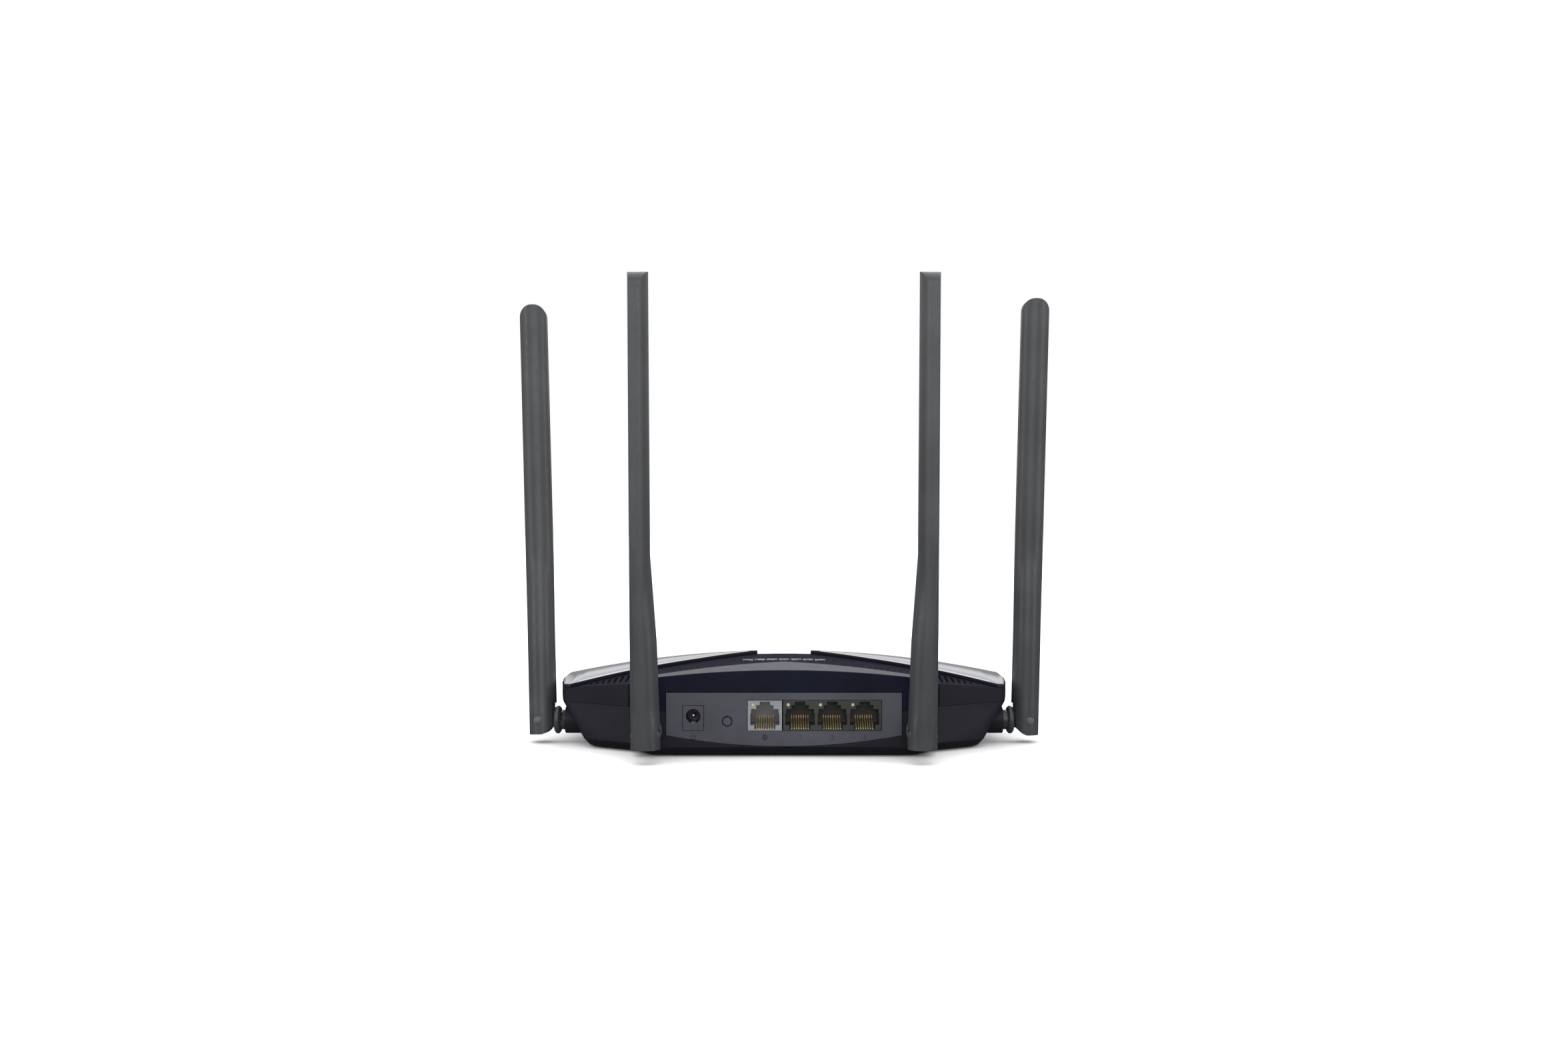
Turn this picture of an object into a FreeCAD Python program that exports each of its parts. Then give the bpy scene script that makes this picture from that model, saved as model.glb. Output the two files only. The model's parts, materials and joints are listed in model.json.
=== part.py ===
import FreeCAD, Part
import math
import os
import Sketcher

# Wireless router with four fold-up antennas: parametric assembly, one node per physical piece.
# Frame: millimetres, +Z up, -Y the socket side, +Y the front edge, origin on the desk under the middle
# of the whole. Depths named *_back are measured from the socket panel's plane towards the front.

DIMENSIONS = {
    # casing outline: corners of the right half at the parting line, from the socket side to the nose
    "panel_y": -62.7, "parting_z": 20, "sill_z": 4.2, "base_z": 0.8, "casing_top": 45,
    "heel_x": 66, "heel_back": 0,
    "notch_x": 68.5, "notch_back": 15.7,
    "flank_x": 98, "flank_back": 34,
    "hip_x": 101, "hip_back": 38,
    "side_x": 104.4, "side_back": 60,
    "cheek_x": 101.5, "cheek_back": 90,
    "jaw_x": 98, "jaw_back": 94.5,
    "brow_x": 58, "brow_back": 136.5,
    "nose_back": 148.6,
    # how far the walls lean in from the parting line down to the sill, and from the sill to the base
    "notch_lean_x": 1, "notch_lean_y": 3,
    "flank_lean_x": 10.7, "flank_lean_y": 9, "side_lean_x": 9.6, "side_lean_y": 3,
    "brow_lean_x": 6, "nose_lean_y": 9.6, "base_lean": 2.6, "heel_lean_x": 8.3, "heel_lean_y": 3.5,
    # wall, the clearance of fixed pieces, of moving ones, and how far a cutting tool runs past a face
    "wall": 2.2, "fit_gap": 0.15, "run_gap": 0.06, "cut_over": 1,
    # roof: an arch across the casing that falls both ways from a crest line
    "crest_back": 72, "arch_span": 120, "arch_drop": 14.85, "deck_apex": 38.5, "roof_thick": 2,
    "rear_fall": 0.065, "front_fall": 0.2, "roof_reach": 110,
    "wing_thick": 1.7, "wing_inner_x": 12.8, "wing_inner_back": 72,
    "wing_bend_x": 40, "wing_bend_back": 57.5, "wing_inner_front": 80, "wing_inset": 0.4,
    # hood over the sockets
    "hood_x": 60, "hood_apex": 37.85, "hood_drop": 3.7,
    "hood_end_back": 10, "hood_point_back": 38.5, "hood_wall": 2,
    "shoulder_x": 46, "shoulder_z": 32.3, "shoulder_back": 20, "groove": 0.8, "groove_run": 4,
    # vent slots in the deck, and longer ones in the belly
    "vent_width": 1, "vent_length": 4.6, "vent_pitch": 2.8, "vent_row_back": 56.5, "vent_turn": 22,
    "vent_side_x": 38, "vent_side_back": 41, "vent_side_slope": 0.07,
    "vent_far_x": 70.9, "vent_rear_margin": 5, "vent_wing_margin": 1,
    "belly_vent_width": 1.8, "belly_vent_length": 14, "belly_vent_pitch": 5.6, "belly_vent_back": 52,
    "belly_row_pitch": 20, "belly_vent_tall": 4,
    # bright dashes on the deck, and the status light near the nose
    "dash_back": 51.5, "dash_pitch": 5.6, "dash_half": 2.35, "dash_wide": 1.2, "dash_tall": 0.5,
    "lamp_half": 7, "lamp_back": 111.2, "lamp_wide": 1.9, "lamp_proud": 0.1, "lamp_gap": 0.3,
    "led_half": 0.8, "led_wide": 1.3, "led_tall": 0.8, "led_pitch": 5,
    # socket panel and its sockets; heights are above the desk
    "panel_half": 51.1, "panel_top": 28, "panel_end_z": 9.5, "panel_smile": 4.8, "panel_thick": 1.8,
    "panel_inset": 0.3,
    "board_z": 10, "board_thick": 1.6,
    "jack_x": -39.3, "jack_width": 9, "jack_tall": 10.7, "jack_deep": 13.5, "jack_hole_z": 17.8,
    "jack_hole": 3.15, "jack_hole_deep": 9.5, "jack_pin": 1, "jack_pin_back": 3,
    "spring_back": 2, "spring_half": 0.8, "spring_thick": 0.3, "spring_lift": 0.25,
    "button_x": -24.6, "button_z": 15.6, "button_hole": 2.3, "button_radius": 1.75, "button_long": 5.2,
    "button_travel": 0.6, "button_proud": 0.1, "collar_radius": 2.9, "collar_thick": 0.9, "collar_gap": 0.2,
    "switch_half": 3, "switch_deep": 3.5, "plunger_radius": 1.2, "plunger_long": 1,
    "wan_x": -8.3, "wan_width": 14.8, "lan_x": 20.9, "lan_width": 42.6, "lan_pitch": 13.97,
    "socket_tall": 13, "socket_deep": 15, "socket_cavity": 12, "socket_sill": 2.3,
    "plug_width": 12.6, "plug_tall": 5.1, "brow_width": 11.9, "brow_tall": 1.9,
    "key_width": 7.4, "key_tall": 1.7, "latch_width": 4.4, "latch_tall": 1.5,
    "comb_width": 9, "comb_deep": 8.6, "comb_low": 0.5, "comb_lap": 0.1,
    "contact_pitch": 1.02, "contact_width": 0.46, "contact_thick": 0.35, "contact_foot": 0.6,
    "contact_back": 1, "contact_heel_back": 10.6, "contact_heel": 3.9, "contact_tip_back": 11.3,
    "contact_tip": 5.4,
    "light_aside": 5.1, "light_up": 11.2, "light_radius": 0.65, "light_long": 3, "light_gap": 0.05,
    # antennas, in their own frame: origin at the hinge pin, blade upright
    "rear_pin_x": 58.4, "rear_pin_back": -18.5, "rear_pin_z": 12.8,
    "side_pin_x": 112.9, "side_pin_back": 46, "side_pin_z": 10.3,
    "rear_lean": 0.35, "side_lean": 1.5, "left_side_lean": 2.2, "left_side_swing": 5,
    "blade_top": 194.4, "blade_foot": 6.6, "blade_outer": 4.7, "blade_inner": 7.7, "blade_round": 5.4,
    "notch_top": 7.3, "notch_radius": 6.8, "slot_outer": 3.7, "slot_top": 7.6, "slot_half": 2.2,
    # blade sections: crown of the broad face, its side edges, and the flatter back, at four heights
    "blade_front": 2.4, "blade_back": 6.4, "edge_front": 0.35, "edge_back": 5.5, "flare_top": 76,
    "flare_front": 5.05, "flare_full": 38,
    "foot_edge_front": 0.3, "root_edge_front": 0, "root_edge_back": 3.2,
    "root_front": 6, "root_top": 8, "foot_front": 6.4,
    "blade_seam": 2.2, "blade_reach": 12,
    "hollow_half": 3.7, "hollow_front": 0.4, "hollow_back": 4.0, "hollow_low": 9,
    "element_half": 3.5, "element_thick": 0.8, "element_low": 22, "element_top": 172, "tail_lap": 0.4,
    "pin_radius": 1.5, "pin_head": 1.9, "pin_seat": 5.3, "pin_head_tall": 0.35, "pin_end": 5.9,
    "tongue_thick": 4, "tongue_half": 3.5, "flange_face": 7.2, "flange_lap": 0.5,
    "flange_thick": 2.8, "flange_radius": 6.4, "flange_bevel": 0.9, "neck_radius": 4.5, "neck_end": 12.1,
    "shaft_radius": 3.5, "shaft_end": 20.9, "clip_radius": 4.2, "clip_thick": 1.2, "shaft_bore": 1,
    "socket_radius": 6.2, "ring_radius": 7.4, "ring_thick": 1.3, "socket_long": 8.4, "socket_gap": 0.1,
    "rear_bore_long": 8, "side_bore_long": 16, "lead_radius": 0.65,
    # fixings and feet
    "boss_x": 78, "boss_back": 62, "front_boss_x": 60, "front_boss_back": 110,
    "boss_radius": 3.5, "boss_top": 9,
    "screw_radius": 1.5, "screw_head": 2.8, "screw_head_tall": 2, "screw_recess": 0.4, "screw_tip": 18,
    "post_x": 60, "post_back": 26, "front_post_x": 40, "front_post_back": 108,
    "board_screw_radius": 1.2, "board_screw_head": 2.4, "board_screw_tall": 1.6, "board_screw_grip": 4,
    "foot_x": 64, "foot_back": 32, "front_foot_back": 96, "foot_radius": 5,
    # circuit board outline, and the heat sink on it
    "board_tab_x": 50, "board_tab_back": 3, "board_neck_back": 10,
    "board_side_x": 68, "board_side_back": 22,
    "board_front_back": 96, "board_nose_x": 44, "board_nose_back": 116,
    "sink_back": 68, "sink_width": 44, "sink_deep": 38, "sink_tall": 11, "sink_lift": 2, "fin_gap": 2.4,
    "fin_pitch": 4,
    # shields, capacitors and antenna connectors on the board
    "shield_x": 42, "shield_back": 66, "shield_width": 24, "shield_deep": 22, "shield_tall": 3.2,
    "shield_sheet": 0.4, "capacitor_radius": 4, "capacitor_tall": 11,
    "connector_radius": 0.7, "connector_tall": 2.2, "lead_landing": 1.2,
}

CENTRE_VENTS = 17
SIDE_VENTS = 6
FAR_VENTS = 7
BELLY_VENTS = 6
DASHES = 7
SINK_GAPS = 10
CONTACTS = 8


class Size:
    """A length with its number and the expression on the sheet that it comes from."""

    def __init__(self, value, text=None):
        self.value = float(value)
        self.text = text or repr(self.value)

    def __add__(self, other):
        other = size(other)
        return Size(self.value + other.value, f"({self.text} + {other.text})")

    def __sub__(self, other):
        other = size(other)
        return Size(self.value - other.value, f"({self.text} - {other.text})")

    def __mul__(self, other):
        other = size(other)
        return Size(self.value * other.value, f"({self.text} * {other.text})")

    def __truediv__(self, other):
        other = size(other)
        return Size(self.value / other.value, f"({self.text} / {other.text})")

    def __neg__(self):
        return Size(-self.value, f"(0 - {self.text})")

    __radd__ = __add__

    def __rsub__(self, other):
        return size(other) - self


def size(number):
    return number if isinstance(number, Size) else Size(number)


class Sizes:
    """The sheet's cells as attributes."""

    def __init__(self, document):
        sheet = document.addObject("Spreadsheet::Sheet", "Sizes")
        for row, (alias, number) in enumerate(DIMENSIONS.items(), start=1):
            sheet.set(f"A{row}", alias)
            sheet.set(f"B{row}", str(number))
            sheet.setAlias(f"B{row}", alias)
            setattr(self, alias, Size(number, f"Sizes.{alias}"))
        document.recompute()


doc = FreeCAD.newDocument("wireless_router")
s = Sizes(doc)
nodes = []


def bind(item, **properties):
    for name, value in properties.items():
        item.setExpression(name, size(value).text)


def move(item, x=0, y=0, z=0):
    for axis, value in zip("xyz", (x, y, z)):
        item.setExpression(f"Placement.Base.{axis}", size(value).text)


def back(distance):
    """The Y position of a point that lies a distance behind the socket panel's plane."""
    return s.panel_y + distance


# ---------------------------------------------------------------- sketches

FRAMES = {
    "XY": FreeCAD.Rotation(),
    "XZ": FreeCAD.Rotation(FreeCAD.Vector(1, 0, 0), 90),
    "YZ": FreeCAD.Rotation(FreeCAD.Vector(1, 1, 1), 120),
}
NORMALS = {"XY": "z", "XZ": "y", "YZ": "x"}


def arc_between(start, end, radius):
    """An arc that bulges to the left of its direction, or to the right where the radius is negative."""
    chord = end - start
    middle = (start + end) * 0.5
    half = chord.Length / 2
    sagitta = abs(radius) - math.sqrt(radius * radius - half * half)
    left = FreeCAD.Vector(-chord.y, chord.x, 0).normalize()
    return Part.Arc(start, middle + left * math.copysign(sagitta, radius), end)


def pin_point(sketch, edge, end, x, y):
    """Holds one end of an edge at x, y of the sketch."""
    for kind, value in (("DistanceX", size(x)), ("DistanceY", size(y))):
        number = sketch.addConstraint(Sketcher.Constraint(kind, -1, 1, edge, end, value.value))
        sketch.setExpression(f"Constraints[{number}]", value.text)


def draw_outline(sketch, corners):
    """Closed outline. A corner is x, y, and a radius where the edge that leaves it is an arc."""
    spots = [FreeCAD.Vector(size(corner[0]).value, size(corner[1]).value, 0) for corner in corners]
    first_edge = sketch.GeometryCount
    ends = []
    for number, corner in enumerate(corners):
        start, end = spots[number], spots[(number + 1) % len(spots)]
        if len(corner) == 3:
            edge = sketch.addGeometry(arc_between(start, end, size(corner[2]).value), False)
            radius = size(corner[2])
            radius = radius if radius.value > 0 else -radius
            constraint = sketch.addConstraint(Sketcher.Constraint("Radius", edge, radius.value))
            sketch.setExpression(f"Constraints[{constraint}]", radius.text)
        else:
            edge = sketch.addGeometry(Part.LineSegment(start, end), False)
        first_gap = sketch.getPoint(edge, 1).distanceToPoint(start)
        second_gap = sketch.getPoint(edge, 2).distanceToPoint(start)
        ends.append((1, 2) if first_gap < second_gap else (2, 1))
    for number, corner in enumerate(corners):
        following = (number + 1) % len(corners)
        sketch.addConstraint(Sketcher.Constraint("Coincident", first_edge + number, ends[number][1],
                                                 first_edge + following, ends[following][0]))
        pin_point(sketch, first_edge + number, ends[number][0], corner[0], corner[1])


def draw_circle(sketch, x, y, radius):
    centre = FreeCAD.Vector(size(x).value, size(y).value, 0)
    edge = sketch.addGeometry(Part.Circle(centre, FreeCAD.Vector(0, 0, 1), size(radius).value), False)
    pin_point(sketch, edge, 3, x, y)
    constraint = sketch.addConstraint(Sketcher.Constraint("Radius", edge, size(radius).value))
    sketch.setExpression(f"Constraints[{constraint}]", size(radius).text)


def rectangle(low_x, low_y, high_x, high_y):
    return [(low_x, low_y), (high_x, low_y), (high_x, high_y), (low_x, high_y)]


def mirrored(corners):
    """The right half's corners, from rear to front, followed by the left half's."""
    return list(corners) + [(-size(x), y) for x, y in reversed(corners) if size(x).value]


def sided(side, corners):
    """The right-hand corners as they are, or turned into the left-hand ones."""
    return corners if side > 0 else [(-size(x), y) for x, y in reversed(corners)]


def bow_radius(half, rise):
    """Radius of the arc that rises by rise over a chord of twice half."""
    return (half * half + rise * rise) / (rise * 2)


# ---------------------------------------------------------------- solids from primitives and sketches

def block(low, high):
    """Box between two corners."""
    box = doc.addObject("Part::Box", "Block")
    bind(box, Length=high[0] - size(low[0]), Width=high[1] - size(low[1]), Height=high[2] - size(low[2]))
    move(box, *low)
    return box


def rod(axis, centre, radius, length):
    """Cylinder that starts at centre and runs along +X, +Y or +Z."""
    cylinder = doc.addObject("Part::Cylinder", "Rod")
    turn = {"x": ((0, 1, 0), 90), "y": ((1, 0, 0), -90), "z": ((0, 0, 1), 0)}[axis]
    about = FreeCAD.Vector(*turn[0])
    cylinder.Placement = FreeCAD.Placement(FreeCAD.Vector(), FreeCAD.Rotation(about, turn[1]))
    bind(cylinder, Radius=radius, Height=length)
    move(cylinder, *centre)
    return cylinder


def prism(plane, outline, start, length, along=None):
    """Outline on a plane at start, carried along the plane's axis or along a slanted direction."""
    sketch = doc.addObject("Sketcher::SketchObject", "Outline")
    sketch.Placement = FreeCAD.Placement(FreeCAD.Vector(), FRAMES[plane])
    sketch.setExpression(f"Placement.Base.{NORMALS[plane]}", size(start).text)
    draw_outline(sketch, outline)
    solid = doc.addObject("Part::Extrusion", "Prism")
    solid.Base = sketch
    solid.DirMode = "Custom"
    straight = {"x": (1, 0, 0), "y": (0, 1, 0), "z": (0, 0, 1)}[NORMALS[plane]]
    solid.Dir = FreeCAD.Vector(*(along or straight))
    solid.Solid = True
    bind(solid, LengthFwd=length)
    return solid


def fuse(*parts):
    if len(parts) == 1:
        return parts[0]
    whole = doc.addObject("Part::MultiFuse", "Whole")
    whole.Shapes = list(parts)
    return whole


def group(*parts):
    """Separate solids in one node."""
    several = doc.addObject("Part::Compound", "Group")
    several.Links = list(parts)
    return several


def cut(base, *tools):
    rest = doc.addObject("Part::Cut", "Rest")
    rest.Base = base
    rest.Tool = fuse(*tools)
    return rest


def common(*parts):
    shared = doc.addObject("Part::MultiCommon", "Shared")
    shared.Shapes = list(parts)
    return shared


def node(item, name, placement=None):
    """Names a finished sub-part; a placement carries it from its own frame to where it sits."""
    item.Label = name
    if placement is not None:
        item.Placement = placement
    nodes.append(item)
    return item


# ---------------------------------------------------------------- PartDesign helpers

def body(name):
    return doc.addObject("PartDesign::Body", name)


def body_sketch(owner, plane, offset=0):
    """Sketch on one of the body's own origin planes, lifted off it by offset."""
    sketch = owner.newObject("Sketcher::SketchObject", "Profile")
    support = [item for item in owner.Origin.OriginFeatures if item.Role == f"{plane}_Plane"][0]
    sketch.AttachmentSupport = [(support, "")]
    sketch.MapMode = "FlatFace"
    lift = -size(offset) if plane == "XZ" else size(offset)
    sketch.setExpression("AttachmentOffset.Base.z", lift.text)
    return sketch


def pad(owner, plane, outline, offset, length):
    """Pads an outline; on the XZ plane it grows towards -Y."""
    sketch = body_sketch(owner, plane, offset)
    draw_outline(sketch, outline)
    feature = owner.newObject("PartDesign::Pad", "Pad")
    feature.Profile = sketch
    bind(feature, Length=length)
    return feature


def pocket(owner, sketch, length):
    feature = owner.newObject("PartDesign::Pocket", "Pocket")
    feature.Profile = sketch
    bind(feature, Length=length)
    return feature


def loft(owner, kind, sections):
    """Ruled loft through outlines on XY at rising heights."""
    sketches = []
    for height, outline in sections:
        sketch = body_sketch(owner, "XY", height)
        draw_outline(sketch, outline)
        sketches.append(sketch)
    feature = owner.newObject(kind, "Loft")
    feature.Profile = sketches[0]
    feature.Sections = sketches[1:]
    feature.Ruled = True
    return feature


# ---------------------------------------------------------------- casing outlines

def parting_outline(inset=0):
    """Casing outline at the parting line and above; inset moves every wall inwards."""
    half = [
        (s.heel_x - inset, back(s.heel_back + inset)),
        (s.notch_x - inset, back(s.notch_back + inset)),
        (s.flank_x - inset, back(s.flank_back + inset)),
        (s.hip_x - inset, back(s.hip_back + inset)),
        (s.side_x - inset, back(s.side_back)),
        (s.cheek_x - inset, back(s.cheek_back - inset)),
        (s.jaw_x - inset, back(s.jaw_back - inset)),
        (s.brow_x - inset, back(s.brow_back - inset)),
        (0, back(s.nose_back - inset)),
    ]
    return mirrored(half)


def sill_outline(inset=0):
    """Casing outline at the sill, where the flanks have leaned in."""
    half = [
        (s.heel_x - inset, back(s.heel_back + inset)),
        (s.notch_x - s.notch_lean_x - inset, back(s.notch_back - s.notch_lean_y + inset)),
        (s.flank_x - s.flank_lean_x - inset, back(s.flank_back - s.flank_lean_y + inset)),
        (s.hip_x - s.flank_lean_x - inset, back(s.hip_back - s.flank_lean_y + inset)),
        (s.side_x - s.side_lean_x - inset, back(s.side_back - s.side_lean_y)),
        (s.cheek_x - s.side_lean_x - inset, back(s.cheek_back - s.side_lean_y - inset)),
        (s.jaw_x - s.side_lean_x - inset, back(s.jaw_back - s.side_lean_y - inset)),
        (s.brow_x - s.brow_lean_x - inset, back(s.brow_back - s.nose_lean_y - inset)),
        (0, back(s.nose_back - s.nose_lean_y - inset)),
    ]
    return mirrored(half)


def base_outline():
    """Flat underside: the sill outline drawn in all round by the bottom bevel."""
    lean = s.base_lean
    half = [
        (s.heel_x - s.heel_lean_x, back(s.heel_back + s.heel_lean_y)),
        (s.notch_x - s.notch_lean_x - lean / 2, back(s.notch_back - s.notch_lean_y + s.heel_lean_y)),
        (s.flank_x - s.flank_lean_x - lean, back(s.flank_back - s.flank_lean_y + lean)),
        (s.hip_x - s.flank_lean_x - lean, back(s.hip_back - s.flank_lean_y + lean)),
        (s.side_x - s.side_lean_x - lean, back(s.side_back - s.side_lean_y)),
        (s.cheek_x - s.side_lean_x - lean, back(s.cheek_back - s.side_lean_y - lean)),
        (s.jaw_x - s.side_lean_x - lean, back(s.jaw_back - s.side_lean_y - lean)),
        (s.brow_x - s.brow_lean_x - lean, back(s.brow_back - s.nose_lean_y - lean)),
        (0, back(s.nose_back - s.nose_lean_y - lean)),
    ]
    return mirrored(half)


def above_roof(apex):
    """Everything above an arched roof whose crest is at apex and which falls to the rear and the front."""
    outline = [
        (-s.arch_span, apex - s.arch_drop, bow_radius(s.arch_span, s.arch_drop)),
        (s.arch_span, apex - s.arch_drop),
        (s.arch_span, s.casing_top * 2),
        (-s.arch_span, s.casing_top * 2),
    ]
    crest = back(s.crest_back)
    rear = prism("XZ", outline, crest, s.roof_reach, along=(0, -1, -s.rear_fall.value))
    front = prism("XZ", outline, crest, s.roof_reach, along=(0, 1, -s.front_fall.value))
    return fuse(rear, front)


def roof_height(x, depth_back):
    """Height of the deck, as a number, at x and at a distance behind the panel plane."""
    radius = bow_radius(s.arch_span, s.arch_drop).value
    arch = radius - math.sqrt(radius ** 2 - x ** 2)
    run = depth_back - s.crest_back.value
    fall = run * -s.rear_fall.value if run < 0 else run * s.front_fall.value
    return s.deck_apex.value - arch - fall


# ---------------------------------------------------------------- casing pieces

def four_places(x, near, far_x, far):
    """The left and right places of a rear pair and a front pair."""
    return [(side * px, back(py)) for px, py in ((x, near), (far_x, far)) for side in (size(-1), size(1))]


def boss_places():
    return four_places(s.boss_x, s.boss_back, s.front_boss_x, s.front_boss_back)


def post_places():
    return four_places(s.post_x, s.post_back, s.front_post_x, s.front_post_back)


def smile_outline(gap):
    """Socket panel's outline: straight top and sides, and a lower edge that sags in an arc."""
    half = s.panel_half + gap
    sag = bow_radius(s.panel_half, s.panel_smile)
    return [(-half, s.panel_end_z - gap, -sag), (half, s.panel_end_z - gap),
            (half, s.panel_top + gap), (-half, s.panel_top + gap)]


def panel_window():
    """Opening in the casing's wall for the socket panel."""
    return prism("XZ", smile_outline(s.fit_gap), back(-s.cut_over), s.wall + s.cut_over * 3)


def screw_seat():
    """Height at which a case screw's head bears on the bottom cover."""
    return s.base_z + s.screw_head_tall + s.screw_recess


def socket_bores():
    """Clearance holes in the casing walls for the four antenna sockets."""
    hole = s.socket_radius + s.run_gap
    far = s.side_pin_x - s.neck_end + s.cut_over * 2
    tools = []
    for side, start in ((-1, -far), (1, far - s.side_bore_long)):
        mouth = (s.rear_pin_x * side, back(-s.cut_over), s.rear_pin_z)
        tools.append(rod("y", mouth, hole, s.rear_bore_long))
        tools.append(rod("x", (start, back(s.side_pin_back), s.side_pin_z), hole, s.side_bore_long))
    return tools


def belly_vents():
    """Two rows of long slots in the underside."""
    slots = []
    for row in range(2):
        near = back(s.belly_vent_back) + s.belly_row_pitch * row
        for number in range(BELLY_VENTS):
            x = s.belly_vent_pitch * (number - (BELLY_VENTS - 1) / 2)
            slots.append(block((x - s.belly_vent_width / 2, near, 0),
                               (x + s.belly_vent_width / 2, near + s.belly_vent_length, s.belly_vent_tall)))
    return slots


def bottom_cover():
    """Tub with leaning walls, screw bosses, board posts and vents."""
    tub = body("bottom_cover_tub")
    loft(tub, "PartDesign::AdditiveLoft",
         [(s.base_z, base_outline()), (s.sill_z, sill_outline()), (s.parting_z, parting_outline())])
    loft(tub, "PartDesign::SubtractiveLoft",
         [(s.base_z + s.wall, sill_outline(s.wall)), (s.parting_z, parting_outline(s.wall))])
    floor = s.base_z + s.wall / 2
    grip = s.board_screw_grip + s.cut_over
    thread_hole = s.board_screw_radius + s.run_gap
    parts = [tub]
    holes = [panel_window(), *socket_bores(), *belly_vents()]
    for x, y in boss_places():
        parts.append(rod("z", (x, y, floor), s.boss_radius, s.boss_top - floor))
        holes.append(rod("z", (x, y, 0), s.screw_radius + s.fit_gap, s.parting_z))
        holes.append(rod("z", (x, y, 0), s.screw_head + s.fit_gap, screw_seat()))
    for x, y in post_places():
        parts.append(rod("z", (x, y, floor), s.boss_radius, s.board_z - floor))
        holes.append(rod("z", (x, y, s.board_z - grip), thread_hole, grip + s.cut_over))
    node(cut(fuse(*parts), *holes), "bottom_cover")


def hood_solid(inset):
    """Raised hood over the sockets: an arched top on an arrowhead plan that points towards the front.
    inset gives the hollow inside it."""
    half = s.hood_x - inset
    side_top = s.hood_apex - s.hood_drop - inset
    low = s.parting_z - s.cut_over if inset else s.parting_z
    arch = bow_radius(s.hood_x, s.hood_drop)
    face = [(-half, low), (half, low), (half, side_top, -arch), (-half, side_top)]
    upright = prism("XZ", face, back(0), s.hood_point_back)
    point = back(s.hood_point_back - size(inset) * 2)
    right = [(half, back(inset)), (half, back(s.hood_end_back - inset)), (0, point)]
    plan = prism("XY", mirrored(right), s.parting_z - s.cut_over, s.casing_top)
    return common(upright, plan)


def shoulder(side):
    """Low cheek beside the hood, behind a rear antenna."""
    corners = [(s.shoulder_x, back(0)), (s.heel_x, back(0)), (s.notch_x, back(s.notch_back)),
               (s.hood_x, back(s.shoulder_back)), (s.shoulder_x, back(s.shoulder_back))]
    return prism("XY", sided(side, corners), s.parting_z, s.shoulder_z - s.parting_z)


def edge_back(x, start, end):
    """Distance behind the panel, as a number, of the straight edge from start to end at x."""
    (x0, back0), (x1, back1) = ((px.value, depth.value) for px, depth in (start, end))
    return back0 + (back1 - back0) * (x - x0) / (x1 - x0)


def vent_slot(x, near, far, turn):
    """Slot through the deck at x between two distances behind the panel, turned about its middle."""
    half, reach = s.vent_width / 2, (size(far) - near) / 2
    slot = block((-half, -reach, 0), (half, reach, s.casing_top))
    slot.Placement = FreeCAD.Placement(FreeCAD.Vector(), FreeCAD.Rotation(FreeCAD.Vector(0, 0, 1), turn))
    turned = group(slot)
    move(turned, x, back((size(near) + far) / 2), s.parting_z + s.cut_over)
    return turned


def deck_vents():
    """Short slanted slots across the middle and beside the hood, and long ones behind the shoulders
    that run from the casing's edge to the wing."""
    pitch, half = s.vent_pitch.value, s.vent_length.value / 2
    turn = s.vent_turn.value
    first = -pitch * (CENTRE_VENTS // 2)
    places = [(first + pitch * number, s.vent_row_back.value) for number in range(CENTRE_VENTS)]
    for number in range(SIDE_VENTS):
        x = s.vent_side_x.value + number * pitch
        depth = s.vent_side_back.value - number * pitch * s.vent_side_slope.value
        places += [(x, depth), (-x, depth)]
    slots = [vent_slot(x, depth - half, depth + half, turn if x < 0 else -turn) for x, depth in places]
    corner = (s.flank_x, s.flank_back)
    for number in range(FAR_VENTS):
        x = s.vent_far_x.value + number * pitch
        near = edge_back(x, (s.notch_x, s.notch_back), corner) + s.vent_rear_margin.value
        far = edge_back(x, (s.wing_bend_x, s.wing_bend_back), corner) - s.vent_wing_margin.value
        slots += [vent_slot(side * x, near, far, 0) for side in (-1, 1)]
    return slots


def top_cover():
    """Deck with the hood and shoulders on it, screw pillars under it, and all its openings."""
    outer = prism("XY", parting_outline(), s.parting_z, s.casing_top - s.parting_z)
    inner = prism("XY", parting_outline(s.wall), s.parting_z - s.cut_over, s.casing_top - s.parting_z)
    outside = fuse(cut(outer, above_roof(s.deck_apex)), hood_solid(0), shoulder(1), shoulder(-1))
    inside = fuse(cut(inner, above_roof(s.deck_apex - s.roof_thick)), hood_solid(s.hood_wall))
    parts = [cut(outside, inside)]
    openings = [panel_window(), light_window(), *grooves(), *deck_vents()]
    for x, y in boss_places():
        roof = roof_height(abs(x.value), (y - s.panel_y).value) - s.roof_thick / 2
        parts.append(rod("z", (x, y, s.boss_top), s.boss_radius, roof - s.boss_top))
        openings.append(rod("z", (x, y, 0), s.screw_radius + s.run_gap, s.screw_tip + s.cut_over))
    node(cut(fuse(*parts), *openings), "top_cover")


def light_window():
    """Slot in the deck for the status light."""
    half = s.lamp_half + s.fit_gap
    near = back(s.lamp_back)
    return block((-half, near, s.parting_z), (half, near + s.lamp_wide, s.casing_top))


def grooves():
    """Upright groove where each flank meets the shoulder."""
    near = back(s.notch_back - s.groove_run)
    far = back(s.notch_back + s.groove)
    top = s.shoulder_z + s.cut_over
    return [block((x - s.groove / 2, near, s.parting_z), (x + s.groove / 2, far, top))
            for x in (-s.notch_x, s.notch_x)]


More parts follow.
